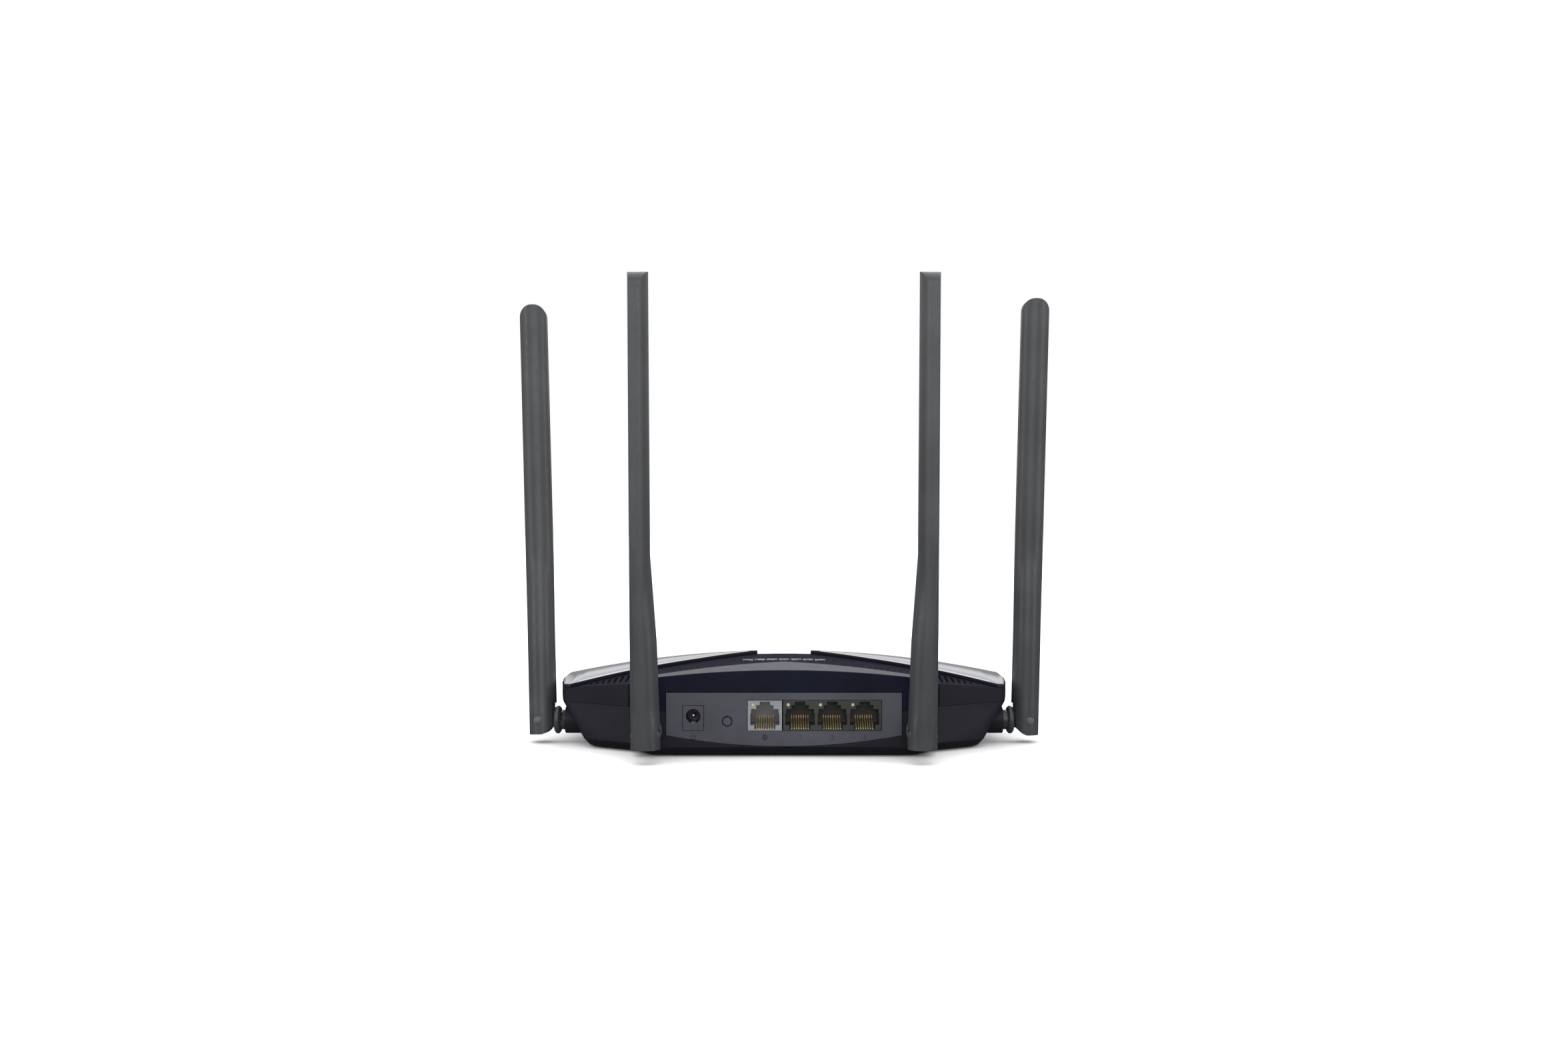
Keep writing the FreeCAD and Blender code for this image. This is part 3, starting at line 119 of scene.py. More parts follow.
class Shader:
    """A node material under construction: Principled shader fed by object-space textures."""

    def __init__(self, name):
        self.material = bpy.data.materials.new(name)
        self.material.use_nodes = True
        self.tree = self.material.node_tree
        self.principled = self.tree.nodes["Principled BSDF"]
        coordinates = self.tree.nodes.new("ShaderNodeTexCoord")
        self.place = coordinates.outputs["Object"]

    def set(self, **values):
        for socket, value in values.items():
            self.principled.inputs[socket.replace("_", " ")].default_value = value

    def link(self, output, socket):
        self.tree.links.new(output, socket)

    def node(self, kind, **values):
        made = self.tree.nodes.new(kind)
        for key, value in values.items():
            setattr(made, key, value)
        return made

    def noise(self, scale, detail=2.0, roughness=0.5, stretch=(1, 1, 1)):
        """Noise with that many features per metre."""
        mapping = self.node("ShaderNodeMapping")
        mapping.inputs["Scale"].default_value = stretch
        self.link(self.place, mapping.inputs["Vector"])
        noise = self.node("ShaderNodeTexNoise")
        noise.inputs["Scale"].default_value = scale
        noise.inputs["Detail"].default_value = detail
        noise.inputs["Roughness"].default_value = roughness
        self.link(mapping.outputs["Vector"], noise.inputs["Vector"])
        return noise.outputs["Fac"]

    def spread(self, value, low, high, start=0.3, end=0.7):
        """Maps a texture value to a span of numbers."""
        span = self.node("ShaderNodeMapRange")
        for socket, number in (("From Min", start), ("From Max", end), ("To Min", low), ("To Max", high)):
            span.inputs[socket].default_value = number
        self.link(value, span.inputs["Value"])
        return span.outputs["Result"]

    def colours(self, value, *stops):
        """Colour ramp through (position, colour) stops."""
        ramp = self.node("ShaderNodeValToRGB")
        while len(ramp.color_ramp.elements) < len(stops):
            ramp.color_ramp.elements.new(0.5)
        for element, (position, colour) in zip(ramp.color_ramp.elements, stops):
            element.position = position
            element.color = (*colour, 1)
        self.link(value, ramp.inputs["Fac"])
        return ramp.outputs["Color"]

    def bump(self, height, strength, depth):
        bump = self.node("ShaderNodeBump")
        bump.inputs["Strength"].default_value = strength
        bump.inputs["Distance"].default_value = depth
        self.link(height, bump.inputs["Height"])
        self.link(bump.outputs["Normal"], self.principled.inputs["Normal"])


def shade(colour, factor):
    return tuple(channel * factor for channel in colour)


def moulded(name, colour, roughness, grain=2600, depth=0.00002, strength=0.5, vary=0.16, spread=0.06,
            **fixed):
    """Moulded plastic: fine spark-eroded grain, faint mottling and uneven sheen."""
    made = Shader(name)
    mottle = made.noise(45, detail=3)
    base = made.colours(mottle, (0.3, shade(colour, 1 - vary)), (0.7, shade(colour, 1 + vary)))
    made.link(base, made.principled.inputs["Base Color"])
    patches = made.noise(420, detail=4, roughness=0.6)
    sheen = made.spread(patches, roughness - spread, roughness + spread)
    made.link(sheen, made.principled.inputs["Roughness"])
    made.bump(made.noise(grain, detail=2, roughness=0.6), strength, depth)
    made.set(**fixed)
    return made.material


def polished(name, colour, roughness, **fixed):
    """Polished plastic: nearly flat, with hairline rub marks in its sheen."""
    made = Shader(name)
    cloud = made.noise(30, detail=2)
    base = made.colours(cloud, (0.3, shade(colour, 0.85)), (0.7, shade(colour, 1.15)))
    made.link(base, made.principled.inputs["Base Color"])
    hairs = made.noise(900, detail=5, roughness=0.7, stretch=(0.12, 1, 1))
    made.link(made.spread(hairs, roughness - 0.04, roughness + 0.05), made.principled.inputs["Roughness"])
    made.bump(made.noise(160, detail=2), 0.25, 0.00001)
    made.set(**fixed)
    return made.material


def metal(name, colour, roughness, stretch=(1, 1, 1), grain=1800, metallic=1.0, **fixed):
    """Plated or drawn metal with fine directional marks."""
    made = Shader(name)
    tone = made.noise(grain, detail=4, roughness=0.65, stretch=stretch)
    base = made.colours(tone, (0.25, shade(colour, 0.8)), (0.75, shade(colour, 1.08)))
    made.link(base, made.principled.inputs["Base Color"])
    made.link(made.spread(tone, roughness - 0.08, roughness + 0.1), made.principled.inputs["Roughness"])
    made.bump(tone, 0.3, 0.000012)
    made.set(Metallic=metallic, **fixed)
    return made.material


def circuit_board(name):
    """Green solder mask over a faint net of copper tracks."""
    made = Shader(name)
    cells = made.node("ShaderNodeTexVoronoi", distance="MANHATTAN", feature="DISTANCE_TO_EDGE")
    cells.inputs["Scale"].default_value = 260
    made.link(made.place, cells.inputs["Vector"])
    base = made.colours(cells.outputs["Distance"], (0.05, (0.05, 0.24, 0.10)), (0.12, (0.02, 0.13, 0.055)))
    made.link(base, made.principled.inputs["Base Color"])
    made.link(made.spread(made.noise(700), 0.28, 0.42), made.principled.inputs["Roughness"])
    made.bump(cells.outputs["Distance"], 0.3, 0.00002)
    return made.material


def lens(name, colour, glow):
    """Frosted light pipe with a faint inner glow."""
    made = Shader(name)
    cloud = made.noise(1500, detail=2)
    base = made.colours(cloud, (0.3, shade(colour, 0.9)), (0.7, colour))
    made.link(base, made.principled.inputs["Base Color"])
    made.link(base, made.principled.inputs["Emission Color"])
    made.link(made.spread(cloud, 0.2, 0.35), made.principled.inputs["Roughness"])
    made.set(Emission_Strength=glow)
    return made.material


MATERIALS = {
    "casing_matte": moulded("casing_matte", (0.009, 0.009, 0.014), 0.5, Specular_IOR_Level=0.16),
    "deck_matte": moulded("deck_matte", (0.009, 0.0085, 0.016), 0.7, grain=1500, depth=0.00004,
                          Specular_IOR_Level=0.015),
    "hood_satin": moulded("hood_satin", (0.004, 0.005, 0.014), 0.38, grain=3000, strength=0.3,
                          Specular_IOR_Level=0.12),
    "casing_gloss": polished("casing_gloss", (0.016, 0.016, 0.022), 0.13, Specular_Tint=(0.9, 0.9, 1.0, 1),
                             Coat_Weight=0.9, Coat_IOR=1.6, Coat_Roughness=0.06),
    "port_panel": moulded("port_panel", (0.043, 0.044, 0.058), 0.46, grain=2200),
    "antenna_plastic": moulded("antenna_plastic", (0.030, 0.032, 0.035), 0.42, grain=3200, depth=0.000012),
    "pin_plastic": moulded("pin_plastic", (0.075, 0.076, 0.08), 0.4, grain=3200),
    "wan_shell": moulded("wan_shell", (0.19, 0.19, 0.205), 0.42, grain=3000),
    "lan_shell": moulded("lan_shell", (0.024, 0.024, 0.022), 0.4, grain=3000),
    "contact_gold": metal("contact_gold", (0.95, 0.76, 0.38), 0.38, stretch=(6, 1, 1), metallic=0.8),
    "light_lens": lens("light_lens", (0.34, 0.38, 0.18), 0.05),
    "silver_trim": metal("silver_trim", (0.80, 0.80, 0.83), 0.24, stretch=(0.2, 1, 1)),
    "rubber": moulded("rubber", (0.018, 0.018, 0.018), 0.8, grain=1400, depth=0.00005,
                      Specular_IOR_Level=0.2),
    "steel": metal("steel", (0.80, 0.80, 0.81), 0.24),
    "board_green": circuit_board("board_green"),
    "heat_sink": metal("heat_sink", (0.72, 0.72, 0.74), 0.38, stretch=(1, 0.1, 1)),
    "thermal_pad": moulded("thermal_pad", (0.42, 0.46, 0.56), 0.75, grain=1200),
    "chip_black": moulded("chip_black", (0.02, 0.02, 0.021), 0.55, grain=2400),
    "capacitor": metal("capacitor", (0.58, 0.58, 0.6), 0.35),
    "coax": moulded("coax", (0.025, 0.025, 0.026), 0.5, grain=2600),
    "print_ink": moulded("print_ink", (0.012, 0.012, 0.016), 0.6, grain=2600),
}


# ------------------------------------------------------------------ mesh helpers

def finish_mesh(mesh, angle=24):
    """Smooth shading with sharp edges where faces meet at more than angle."""
    mesh.polygons.foreach_set("use_smooth", [True] * len(mesh.polygons))
    mesh.set_sharp_from_angle(angle=math.radians(angle))


def add_piece(name, mesh, body, materials, replaced=()):
    piece = bpy.data.objects.new(name, mesh)
    bpy.context.scene.collection.objects.link(piece)
    for material in materials:
        mesh.materials.append(MATERIALS[material])
    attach(piece, body)
    if replaced:
        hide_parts(*replaced)
    return piece


def body_of_node(node):
    return frame["nodes"][node]["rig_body"]


def slot_of_node(node):
    return next(part["material_slot"] for part in frame["record"]["subparts"] if part["node"] == node)


def softened(node, width):
    """Copy of a CAD node's mesh with its hard edges rounded off by width millimetres."""
    work = bmesh.new()
    work.from_mesh(frame["nodes"][node].data)
    bmesh.ops.remove_doubles(work, verts=work.verts, dist=0.002 * MM)
    bmesh.ops.dissolve_limit(work, angle_limit=math.radians(0.03), verts=work.verts, edges=work.edges)
    room = 2.2 * width * MM
    crowded = {vertex for edge in work.edges if edge.calc_length() < room for vertex in edge.verts}
    sharp = [edge for edge in work.edges
             if edge.calc_face_angle(0) > math.radians(30) and not crowded.intersection(edge.verts)]
    bmesh.ops.bevel(work, geom=sharp, offset=width * MM, offset_type="OFFSET", segments=2,
                    profile=0.5, affect="EDGES", clamp_overlap=False)
    mesh = bpy.data.meshes.new(f"{node}_soft")
    work.to_mesh(mesh)
    work.free()
    return mesh


# ------------------------------------------------------------------ antennas

def blade_matrix(name):
    """Carries the blade from the hinge pin's frame to where it stands."""
    hand, pin, turn, lean, swing = ANTENNAS[name]
    place = Matrix.Translation(Vector(pin) * MM)
    tilt = Matrix.Rotation(math.radians(swing), 4, "X") @ Matrix.Rotation(math.radians(lean), 4, "Y")
    return place @ tilt @ Matrix.Rotation(math.radians(turn), 4, "Z")


CROWN_LINE = ((BLADE_FOOT, FLARE_ROOT_FRONT), (FLARE_LOW, FLARE_MID_FRONT), (FLARE_FULL, FLARE_FULL_FRONT),
              (FLARE_TOP, BLADE_FRONT), (BLADE_TOP, BLADE_FRONT))


def crown_front(z):
    """Foremost line of the blade's broad face."""
    for (low, front_low), (high, front_high) in zip(CROWN_LINE, CROWN_LINE[1:]):
        if z <= high:
            return front_low + (front_high - front_low) * (z - low) / (high - low)
    return BLADE_FRONT


def bow(x, rise):
    """How far an arc across the blade that rises by rise has fallen from its crown at x."""
    half = (BLADE_OUTER - BLADE_INNER) / 2
    away = min(half, abs(x - (BLADE_OUTER + BLADE_INNER) / 2))
    radius = (half * half + rise * rise) / (2 * rise)
    return radius - math.sqrt(max(0.0, radius * radius - away * away))


def blade_front_y(x, z):
    """Convex broad face, with the flare that begins in an arch and swells towards the root."""
    crown = crown_front(z)
    if z >= FLARE_FULL:
        plain = BLADE_FRONT + bow(x, EDGE_FRONT - BLADE_FRONT)
        return min(plain, crown + bow(x, EDGE_FRONT - crown_front(FLARE_FULL)))
    edge = EDGE_FRONT - ROOT_EDGE_RISE * (FLARE_FULL - z) / (FLARE_FULL - BLADE_FOOT)
    return crown + bow(x, edge - crown)


def blade_back_y(x, z):
    """Shallow back face whose edges are drawn in beside the root."""
    plain = BLADE_BACK - bow(x, BLADE_BACK - EDGE_BACK)
    slack = (EDGE_BACK - ROOT_EDGE_BACK) * min(1.0, max(0.0, (z - FLARE_FULL) / (FLARE_TOP - FLARE_FULL)))
    return min(plain, BLADE_BACK + slack - bow(x, BLADE_BACK - ROOT_EDGE_BACK))


def blade_span(z):
    """Inner and outer x of the broad outline at a height."""
    inner, outer = BLADE_INNER, BLADE_OUTER
    shoulder = BLADE_TOP - TOP_ROUND
    if z > shoulder:
        drawn_in = TOP_ROUND - math.sqrt(max(0.0, TOP_ROUND ** 2 - (z - shoulder) ** 2))
        return inner + drawn_in, outer - drawn_in
    if z < 0:
        return -math.sqrt(NOTCH_RADIUS ** 2 - z * z), outer
    if z < NOTCH_TOP:
        return -NOTCH_RADIUS, outer
    return inner, outer


def blade_levels():
    """Heights of the blade's sections, closer together where it changes."""
    foot = [BLADE_FOOT + step * 0.6 for step in range(11)]
    root = [0.0, NOTCH_TOP - 0.01, NOTCH_TOP + 0.01, 12, 18, 24, 28, 33]
    arch = [FLARE_FULL + (FLARE_TOP - FLARE_FULL) * step / 24 for step in range(25)]
    shaft = [FLARE_TOP + 6, 90, 120, 150, 175]
    shoulder = BLADE_TOP - TOP_ROUND
    dome = [shoulder + TOP_ROUND * math.sin(math.radians(90 * step / 14)) for step in range(15)]
    return foot + root + arch + shaft + dome


def blade_section(z, hand, columns=14, ease=0.28):
    """Closed ring of points round the blade at height z, with its four long ridges eased."""
    inner, outer = blade_span(z)
    ease = min(ease, (outer - inner) / 5)
    rim = [inner + ease * (1 - math.cos(math.radians(a))) for a in (0, 45)] + \
          [inner + ease + (outer - inner - 2 * ease) * step / columns for step in range(columns + 1)] + \
          [outer - ease * (1 - math.cos(math.radians(a))) for a in (45, 0)]
    ring = []
    for x in rim:
        lift = ease * (1 - math.sqrt(max(0.0, 1 - ((ease - min(x - inner, outer - x, ease)) / ease) ** 2)))
        ring.append((x, blade_front_y(x, z) + lift))
    for x in reversed(rim):
        lift = ease * (1 - math.sqrt(max(0.0, 1 - ((ease - min(x - inner, outer - x, ease)) / ease) ** 2)))
        ring.append((x, blade_back_y(x, z) - lift))
    return [Vector((x, y * hand, z)) * MM for x, y in ring]


def blade_mesh(hand):
    """Whole blade as a closed loft."""
    work = bmesh.new()
    rings = [[work.verts.new(point) for point in blade_section(z, hand)] for z in blade_levels()]
    count = len(rings[0])
    for low, high in zip(rings, rings[1:]):
        for number in range(count):
            after = (number + 1) % count
            work.faces.new((low[number], low[after], high[after], high[number]))
    work.faces.new(list(reversed(rings[0])))
    work.faces.new(rings[-1])
    bmesh.ops.recalc_face_normals(work, faces=work.faces)
    return work


def to_object(work, name):
    mesh = bpy.data.meshes.new(name)
    work.to_mesh(mesh)
    work.free()
    made = bpy.data.objects.new(name, mesh)
    bpy.context.scene.collection.objects.link(made)
    return made


def cutter_box(low, high, hand):
    work = bmesh.new()
    near, far = sorted((low[1] * hand, high[1] * hand))
    size = Vector((high[0] - low[0], far - near, high[2] - low[2]))
    middle = Vector(((high[0] + low[0]) / 2, (near + far) / 2, (high[2] + low[2]) / 2))
    place = Matrix.Translation(middle * MM) @ Matrix.Diagonal((*(size * MM), 1))
    bmesh.ops.create_cube(work, size=1, matrix=place)
    return to_object(work, "cutter")


def cutter_rod(radius, near, far, hand, sides=40):
    """Round cutter along y, centred on the pin."""
    work = bmesh.new()
    near, far = sorted((near * hand, far * hand))
    middle = Vector((0, (near + far) / 2, 0))
    place = Matrix.Translation(middle * MM) @ Matrix.Rotation(math.radians(90), 4, "X")
    bmesh.ops.create_cone(work, cap_ends=True, segments=sides, radius1=radius * MM, radius2=radius * MM,
                          depth=(far - near) * MM, matrix=place)
    return to_object(work, "cutter")


def carve(piece, cutters):
    """Applies boolean cuts and removes the cutters."""
    for cutter in cutters:
        step = piece.modifiers.new("carve", "BOOLEAN")
        step.operation = "DIFFERENCE"
        step.solver = "EXACT"
        step.object = cutter
    bpy.context.view_layer.update()
    shaped = bpy.data.meshes.new_from_object(piece.evaluated_get(bpy.context.evaluated_depsgraph_get()))
    piece.modifiers.clear()
    for cutter in cutters:
        bpy.data.objects.remove(cutter)
    bpy.data.objects.remove(piece)
    return shaped


def blade_pieces(name):
    hand = ANTENNAS[name][0]
    place = blade_matrix(name)
    front = carve(to_object(blade_mesh(hand), "front"), [
        cutter_box((-12, SEAM - SEAM_GAP, -12), (12, 14, 200), hand),
        cutter_box(*HOLLOW, hand),
        cutter_box((-12, -SEAM, -12), (SLOT_OUTER, 14, SLOT_TOP), hand),
        cutter_rod(PIN_RECESS, -12, -PIN_SEAT, hand),
        cutter_rod(PIN_BORE, -12, 14, hand)])
    rear = carve(to_object(blade_mesh(hand), "rear"), [
        cutter_box((-12, -14, -12), (12, SEAM + SEAM_GAP, 200), hand),
        cutter_box(*HOLLOW, hand),
        cutter_rod(PIN_BORE, -12, 14, hand)])
    for mesh, half in ((front, "front"), (rear, "back")):
        mesh.name = f"{name}_blade_{half}_shell"
        mesh.transform(place)
        finish_mesh(mesh, 20)
        add_piece(f"{name}_antenna_{half}_shell", mesh, f"{name}_blade",
                  ["antenna_plastic"], [f"{name}_antenna_blade_{half}"])


def lathe(profile, sides=48):
    """Closed solid of revolution about y from (y, radius) points; its ends lie on the axis."""
    work = bmesh.new()
    rings = []
    for along, radius in profile:
        if radius == 0:
            rings.append([work.verts.new(Vector((0, along, 0)) * MM)])
            continue
        angles = [math.tau * number / sides for number in range(sides)]
        circle = [Vector((radius * math.cos(a), along, radius * math.sin(a))) for a in angles]
        rings.append([work.verts.new(point * MM) for point in circle])
    for low, high in zip(rings, rings[1:]):
        for number in range(sides):
            after = (number + 1) % sides
            corners = [low[number % len(low)], low[after % len(low)],
                       high[after % len(high)], high[number % len(high)]]
            unique = list(dict.fromkeys(corners))
            work.faces.new(unique)
    bmesh.ops.recalc_face_normals(work, faces=work.faces)
    return work


def hinge_pin(name):
    """Pin with a small domed head standing in a ring-shaped recess."""
    hand = ANTENNAS[name][0]
    face = -PIN_FACE
    profile = [(face, 0), (face, 0.9), (face + 0.05, 1.05), (face + 0.15, 1.12), (face + 0.2, 1.25),
               (face + 0.2, 1.82), (face + 0.25, 1.9), (-PIN_SEAT, 1.9), (-PIN_SEAT, 1.5),
               (BLADE_BACK - 0.8, 1.5), (BLADE_BACK - 0.5, 1.25), (BLADE_BACK - 0.5, 0)]
    work = lathe([(along * hand, radius) for along, radius in profile])
    mesh = bpy.data.meshes.new(f"{name}_pin")
    work.to_mesh(mesh)
    work.free()
    mesh.transform(blade_matrix(name))
    finish_mesh(mesh, 35)
    add_piece(f"{name}_antenna_pin", mesh, f"{name}_blade", ["pin_plastic"],
              [f"{name}_antenna_hinge_pin"])


for antenna in ANTENNAS:
    blade_pieces(antenna)
    hinge_pin(antenna)

# ------------------------------------------------------------------ wings

def wing_panel(word, side):
    """Glossy sheet over the deck, with a rolled outer end and a fine round along its other edges."""
    node = f"{word}_wing_panel"
    work = bmesh.new()
    bottom = [work.verts.new((side * x * MM, back(y) * MM, 0)) for x, y in WING_OUTLINE]
    face = work.faces.new(bottom)
    top = bmesh.ops.extrude_face_region(work, geom=[face])
    for vertex in [item for item in top["geom"] if isinstance(item, bmesh.types.BMVert)]:
        vertex.co.z = MM
    cuts = [((side * x * MM, 0, 0), (1, 0, 0)) for x in range(WING_DARK_END, 98, 4)]
    cuts.append(((0, back(CREST_BACK) * MM, 0), (0, 1, 0)))
    for point, normal in cuts:
        bmesh.ops.bisect_plane(work, geom=work.verts[:] + work.edges[:] + work.faces[:],
                               plane_co=point, plane_no=normal, dist=1e-7)
    for vertex in work.verts:
        lift = WING_THICK if vertex.co.z > 0.5 * MM else 0
        vertex.co.z = (roof_z(vertex.co.x / MM, vertex.co.y / MM) + lift) * MM
    bmesh.ops.recalc_face_normals(work, faces=work.faces)
    work.normal_update()

    def top_rim(edge):
        faces = edge.link_faces
        if len(faces) != 2:
            return False
        return max(f.normal.z for f in faces) > 0.7 and min(abs(f.normal.z) for f in faces) < 0.5

    outer = [edge for edge in work.edges
             if top_rim(edge) and min(abs(v.co.x) for v in edge.verts) > WING_ROLL_FROM * MM]
    bmesh.ops.bevel(work, geom=outer, offset=WING_ROLL * MM, segments=5, profile=0.5, affect="EDGES")
    work.normal_update()
    rim = [edge for edge in work.edges
           if len(edge.link_faces) == 2 and edge.calc_face_angle(0) > math.radians(35)]
    bmesh.ops.bevel(work, geom=rim, offset=WING_EDGE_ROUND * MM, segments=2, profile=0.5, affect="EDGES")
    mesh = bpy.data.meshes.new(f"{node}_sheet")
    work.to_mesh(mesh)
    work.free()
    for polygon in mesh.polygons:
        inner_end = abs(polygon.center.x) < WING_DARK_END * MM
        polygon.material_index = 1 if inner_end or polygon.normal.z < 0.6 else 0
    finish_mesh(mesh, 30)
    add_piece(f"{word}_wing_sheet", mesh, "chassis", ["casing_gloss", "casing_matte"], [node])


for word, side in (("left", -1), ("right", 1)):
    wing_panel(word, side)

# ------------------------------------------------------------------ casing pieces from the CAD meshes

def replace_softened(node, width, name, materials=None, paint=None):
    mesh = softened(node, width)
    piece = add_piece(name, mesh, body_of_node(node),
                      materials or [slot_of_node(node)], [node])
    if paint:
        for polygon in mesh.polygons:
            polygon.material_index = paint(polygon)
    finish_mesh(mesh, 28)
    even = piece.modifiers.new("even_normals", "WEIGHTED_NORMAL")
    even.keep_sharp = True
    even.weight = 100
    return piece


def casing_region(polygon):
    """Deck, hood or plain wall of the top cover."""
    centre = polygon.center / MM
    hood_back = HOOD_POINT_BACK - (HOOD_POINT_BACK - HOOD_END_BACK) * abs(centre.x) / HOOD_HALF
    depth = centre.y - PANEL_Y
    if abs(centre.x) < HOOD_HALF + 1 and depth < hood_back + 0.4 and centre.z > PARTING_Z:
        return 2
    if polygon.normal.z > 0.8:
        return 1
    return 0


# the top cover's hood, deck and walls differ in finish
replace_softened("top_cover", 0.22, "top_casing", ["casing_matte", "deck_matte", "hood_satin"], casing_region)
replace_softened("bottom_cover", 0.25, "bottom_casing")
replace_softened("rear_port_panel", 0.15, "port_plate")
replace_softened("power_inlet_body", 0.12, "power_inlet_housing")
replace_softened("wan_jack_housing", 0.1, "wan_socket_shell")
replace_softened("lan_jack_housing", 0.1, "lan_socket_shell")
for antenna in ANTENNAS:
    replace_softened(f"{antenna}_antenna_hub", 0.2, f"{antenna}_antenna_swivel")
    replace_softened(f"{antenna}_antenna_socket", 0.2, f"{antenna}_antenna_bush")

# ------------------------------------------------------------------ marks printed under the sockets

def stroke(work, start, end, width=0.22):
    """Thin printed bar on the panel between two points of its face, x and z."""
    start, end = Vector(start), Vector(end)
    along = (end - start).normalized() * width / 2
    side = Vector((-along.y, along.x))
    corners = (start - along - side, end + along - side, end + along + side, start - along + side)
    skin = back(PANEL_FACE_BACK)
    rings = [[work.verts.new(Vector((c.x, y, c.y)) * MM) for c in corners]
             for y in (skin - 0.02, skin + 0.02)]
    work.faces.new(rings[0])
    work.faces.new(list(reversed(rings[1])))
    for number in range(4):
        after = (number + 1) % 4
        work.faces.new((rings[0][after], rings[0][number], rings[1][number], rings[1][after]))


def arc_points(centre, radius, start, end, steps=16, squash=1.0):
    angles = [math.radians(start + (end - start) * step / steps) for step in range(steps + 1)]
    return [(centre[0] + radius * squash * math.cos(a), centre[1] + radius * math.sin(a)) for a in angles]


def printed_marks():
    """Power sign, globe and the numerals 1 to 3, each below its socket."""
    level = 8.6
    power, globe = (-39.3, level), (-8.3, level)
    lines = [arc_points(power, 0.95, 130, 410), [(power[0], level + 0.35), (power[0], level + 1.25)],
             arc_points(globe, 1.05, 0, 360), arc_points(globe, 1.05, 0, 360, squash=0.45),
             [(globe[0] - 1.05, level), (globe[0] + 1.05, level)]]
    one = [(-0.35, 0.6), (0.1, 1.0), (0.1, -1.0)]
    two = [(-0.5, 0.55), (-0.2, 0.95), (0.25, 0.95), (0.5, 0.55), (0.3, 0.1), (-0.5, -1.0), (0.55, -1.0)]
    three = [(-0.5, 0.95), (0.5, 0.95), (0.0, 0.2), (0.45, -0.1), (0.45, -0.65), (0.1, -1.0), (-0.5, -0.8)]
    for x, numeral in zip((6.93, 20.9, 34.87), (one, two, three)):
        lines.append([(x + px, level + pz) for px, pz in numeral])
    work = bmesh.new()
    for line in lines:
        for start, end in zip(line, line[1:]):
            stroke(work, start, end)
    bmesh.ops.recalc_face_normals(work, faces=work.faces)
    mesh = bpy.data.meshes.new("printed_marks")
    work.to_mesh(mesh)
    work.free()
    add_piece("printed_marks", mesh, "chassis", ["print_ink"])


printed_marks()

# ------------------------------------------------------------------ finishes on the CAD nodes that stay

for part in frame["record"]["subparts"]:
    shown = frame["nodes"][part["node"]]
    if shown.hide_render:
        continue
    shown.data.materials.clear()
    shown.data.materials.append(MATERIALS[part["material_slot"]])

# ------------------------------------------------------------------ floor, light and camera

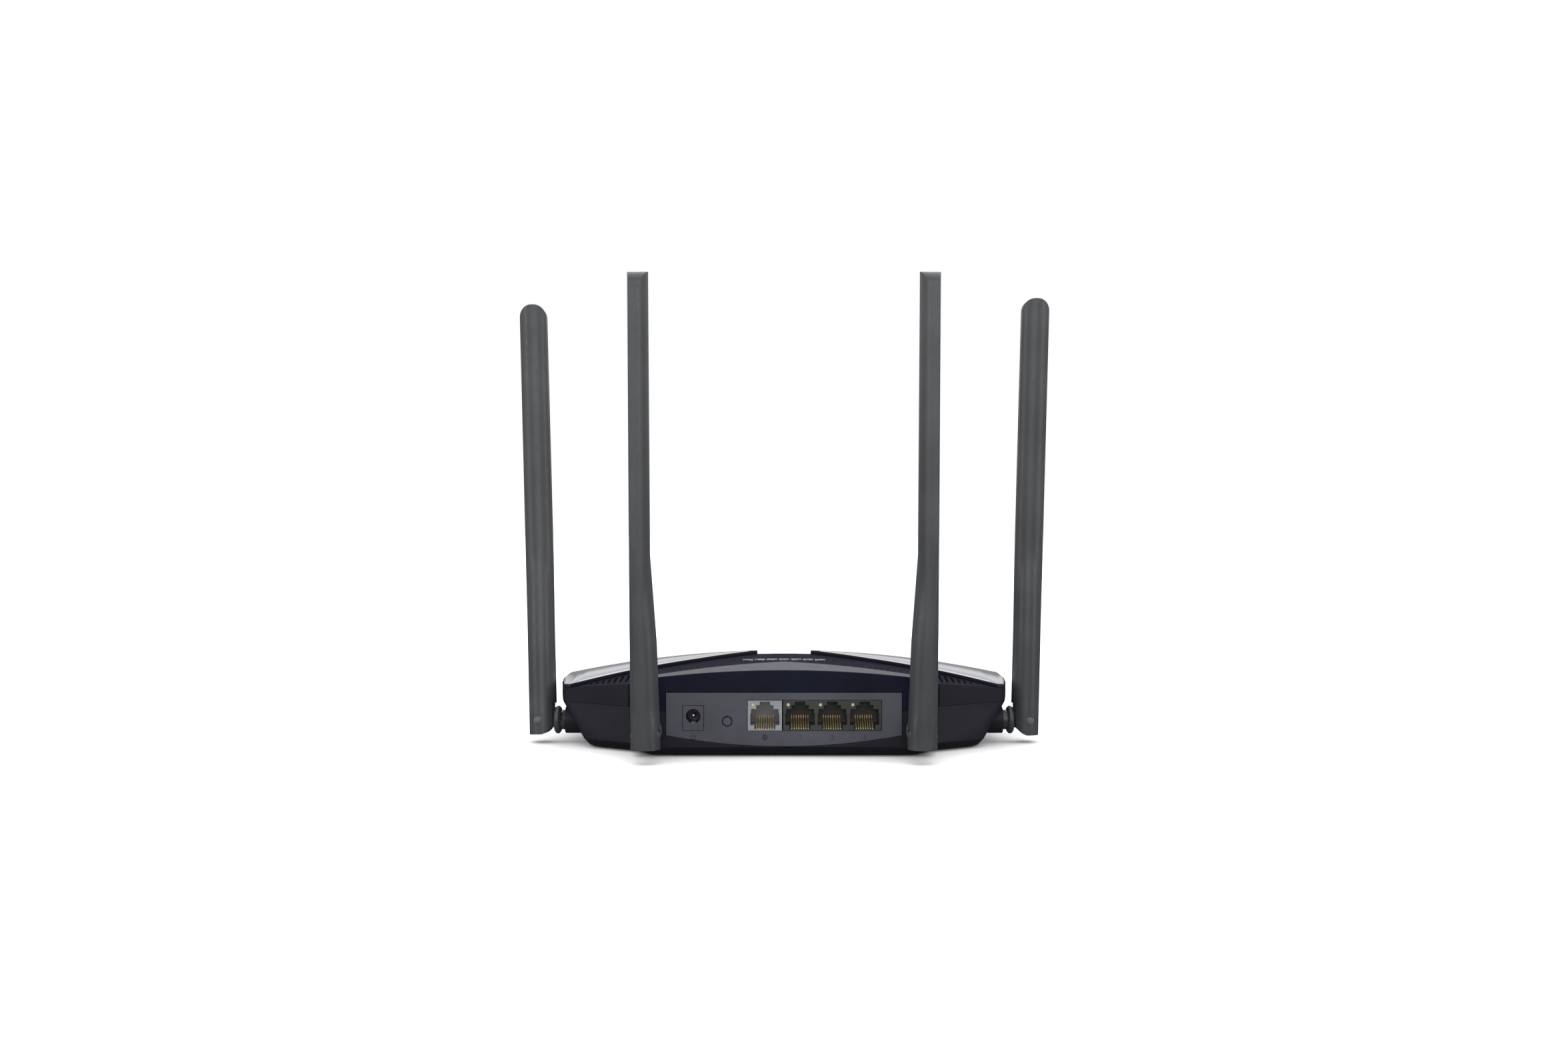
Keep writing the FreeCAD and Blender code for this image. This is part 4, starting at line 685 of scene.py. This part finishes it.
def studio():
    work = bmesh.new()
    bmesh.ops.create_grid(work, x_segments=8, y_segments=8, size=6)
    floor = to_object(work, "floor")
    surface = Shader("floor_white")
    surface.link(surface.colours(surface.noise(3), (0.3, (0.90, 0.90, 0.90)), (0.7, (0.93, 0.93, 0.93))),
                 surface.principled.inputs["Base Color"])
    surface.set(Roughness=0.9, Specular_IOR_Level=0.0)
    floor.data.materials.append(surface.material)
    floor.visible_glossy = False

    world = bpy.data.worlds.new("studio")
    bpy.context.scene.world = world
    world.use_nodes = True
    tree = world.node_tree
    tree.nodes.clear()
    coordinates = tree.nodes.new("ShaderNodeTexCoord")
    axes = tree.nodes.new("ShaderNodeSeparateXYZ")
    tree.links.new(coordinates.outputs["Generated"], axes.inputs["Vector"])

    def ramp(output, low, high, start, end):
        span = tree.nodes.new("ShaderNodeMapRange")
        span.interpolation_type = "SMOOTHSTEP"
        for socket, number in (("From Min", low), ("From Max", high), ("To Min", start), ("To Max", end)):
            span.inputs[socket].default_value = number
        tree.links.new(output, span.inputs["Value"])
        return span.outputs["Result"]

    height = ramp(axes.outputs["Z"], -0.08, 0.3, 0.06, 1.15)
    depth = ramp(axes.outputs["Y"], -0.8, 0.35, 0.4, 1.0)
    product = tree.nodes.new("ShaderNodeMath")
    product.operation = "MULTIPLY"
    tree.links.new(height, product.inputs[0])
    tree.links.new(depth, product.inputs[1])
    room = tree.nodes.new("ShaderNodeBackground")
    room.inputs["Color"].default_value = (0.97, 0.98, 1.0, 1)
    tree.links.new(product.outputs["Value"], room.inputs["Strength"])
    seen = tree.nodes.new("ShaderNodeBackground")
    seen.inputs["Color"].default_value = (1, 1, 1, 1)
    seen.inputs["Strength"].default_value = 1.0
    path = tree.nodes.new("ShaderNodeLightPath")
    mix = tree.nodes.new("ShaderNodeMixShader")
    tree.links.new(path.outputs["Is Camera Ray"], mix.inputs["Fac"])
    tree.links.new(room.outputs["Background"], mix.inputs[1])
    tree.links.new(seen.outputs["Background"], mix.inputs[2])
    output = tree.nodes.new("ShaderNodeOutputWorld")
    tree.links.new(mix.outputs["Shader"], output.inputs["Surface"])


def area_light(name, place, target, width, height, power, colour=(1, 1, 1)):
    data = bpy.data.lights.new(name, "AREA")
    data.shape = "RECTANGLE"
    data.size, data.size_y = width, height
    data.energy = power
    data.color = colour
    lamp = bpy.data.objects.new(name, data)
    lamp.location = place
    lamp.rotation_euler = (Vector(target) - Vector(place)).to_track_quat("-Z", "Y").to_euler()
    bpy.context.scene.collection.objects.link(lamp)


studio()
sky = bpy.data.lights.new("sky", "SUN")
sky.energy = 2.2
sky.angle = math.radians(100)
sky_lamp = bpy.data.objects.new("sky", sky)
sky_lamp.rotation_euler = (math.radians(-12), 0, 0)
bpy.context.scene.collection.objects.link(sky_lamp)
area_light("front_low", (0, -1.3, 0.25), (0, 0, 0.02), 0.5, 0.25, 1.6)
area_light("front_soft", (0, -1.5, 0.75), (0, 0, 0.08), 1.6, 0.5, 7)
area_light("left_strip", (-1.1, -0.7, 0.45), (0, 0, 0.1), 0.3, 1.1, 4)
area_light("right_strip", (1.1, -0.7, 0.45), (0, 0, 0.1), 0.3, 1.1, 4)

CAMERA_DISTANCE, CAMERA_HEIGHT = 670, 106
CAMERA_DIP = 0.37
CAMERA_LENS = 35.59
camera_data = bpy.data.cameras.new("camera")
camera_data.sensor_width = 36
camera_data.lens = CAMERA_LENS
camera_data.clip_start = 0.01
camera = bpy.data.objects.new("camera", camera_data)
camera.location = Vector((0, PANEL_Y - CAMERA_DISTANCE, CAMERA_HEIGHT)) * MM
camera.rotation_euler = (math.radians(90 - CAMERA_DIP), 0, 0)
bpy.context.scene.collection.objects.link(camera)
bpy.context.scene.camera = camera
bpy.context.scene.view_settings.view_transform = "Standard"
